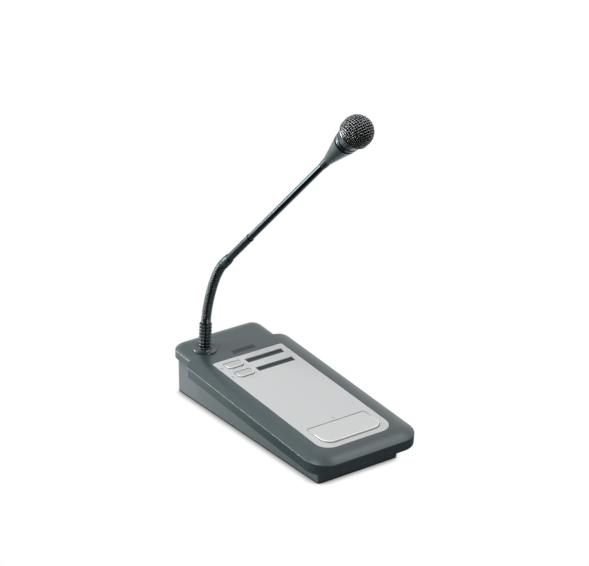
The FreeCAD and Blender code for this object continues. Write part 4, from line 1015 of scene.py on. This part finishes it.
# %% Lamps
def soft_lamp(name, place, target, power, width, height):
    """A rectangular soft lamp that looks at a target. Sizes are in metres, power in watts."""
    data = bpy.data.lights.new(name, "AREA")
    data.energy = power
    data.shape = "RECTANGLE"
    data.size = width
    data.size_y = height
    lamp = bpy.data.objects.new(name, data)
    scene.collection.objects.link(lamp)
    lamp.location = Vector(place)
    lamp.rotation_mode = "QUATERNION"
    lamp.rotation_quaternion = (Vector(target) - Vector(place)).to_track_quat("-Z", "Y")
    lamp.visible_camera = False
    lamp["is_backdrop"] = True
    print(name, power, "W at", place)


soft_lamp("left_card", (-0.60, 0.58, 0.18), (-0.02, 0.0, 0.06), 6.4, 0.5, 0.26)
soft_lamp("top_soft", (-0.6, 0.06, 1.35), (0.0, 0.0, 0.0), 9.8, 0.44, 0.44)
soft_lamp("right_soft", (0.75, -0.05, 1.2), (0.0, 0.0, 0.03), 1.8, 0.45, 0.45)
soft_lamp("front_soft", (0.1, -1.0, 0.9), (0.0, 0.0, 0.03), 2.8, 0.6, 0.6)

# %% [markdown]
# ## World
# The same studio goes on above the floor. The camera sees it plain white. Reflections see it
# white behind the station and dark on the side of the camera. As light it is weak, so that the
# lamps shape the station, and from the dark room it is half as strong.

# %% World
WORLD_ROOM = (-0.3, 0.6)
WORLD_ROOM_DARK = 0.97
SOFT_LIGHT = 0.36
SOFT_LIGHT_LOST = 0.18


def make_world():
    """White studio behind and beside the station, dark room on the side of the camera."""
    world = bpy.data.worlds.new("studio")
    world.use_nodes = True
    scene.world = world
    world.node_tree.nodes.clear()
    tree = Tree(world.node_tree)
    heading = tree.make("ShaderNodeTexCoord").outputs["Generated"]
    room = in_dark_room(tree, heading, WORLD_ROOM)
    strengths = (SOFT_LIGHT - room * SOFT_LIGHT_LOST, 1.0 - room * WORLD_ROOM_DARK, 1.0)
    light, mirrored, plain = (
        tree.make("ShaderNodeBackground", {"Color": WHITE, "Strength": strength})
        for strength in strengths
    )
    shown = choose(tree, camera_rays(tree), mirrored, plain)
    whole = choose(tree, shown_rays(tree), light, shown)
    tree.make("ShaderNodeOutputWorld", {"Surface": whole})


make_world()
scene.view_settings.view_transform = "Standard"
print("world", scene.world.name, "view", scene.view_settings.view_transform)

# %% [markdown]
# ## Sizes at the end
# The size of everything that shows is written next to the size of the solids, which it must
# not pass.

# %% Sizes
shown_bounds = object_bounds()
sizes = {
    "cad_box_m": [[round(c, 6) for c in corner] for corner in cad_bounds],
    "visual_box_m": [[round(c, 6) for c in corner] for corner in shown_bounds],
}
for label, (lowest, highest) in sizes.items():
    print(label, [round((b - a) / MM, 2) for a, b in zip(lowest, highest)], "mm")
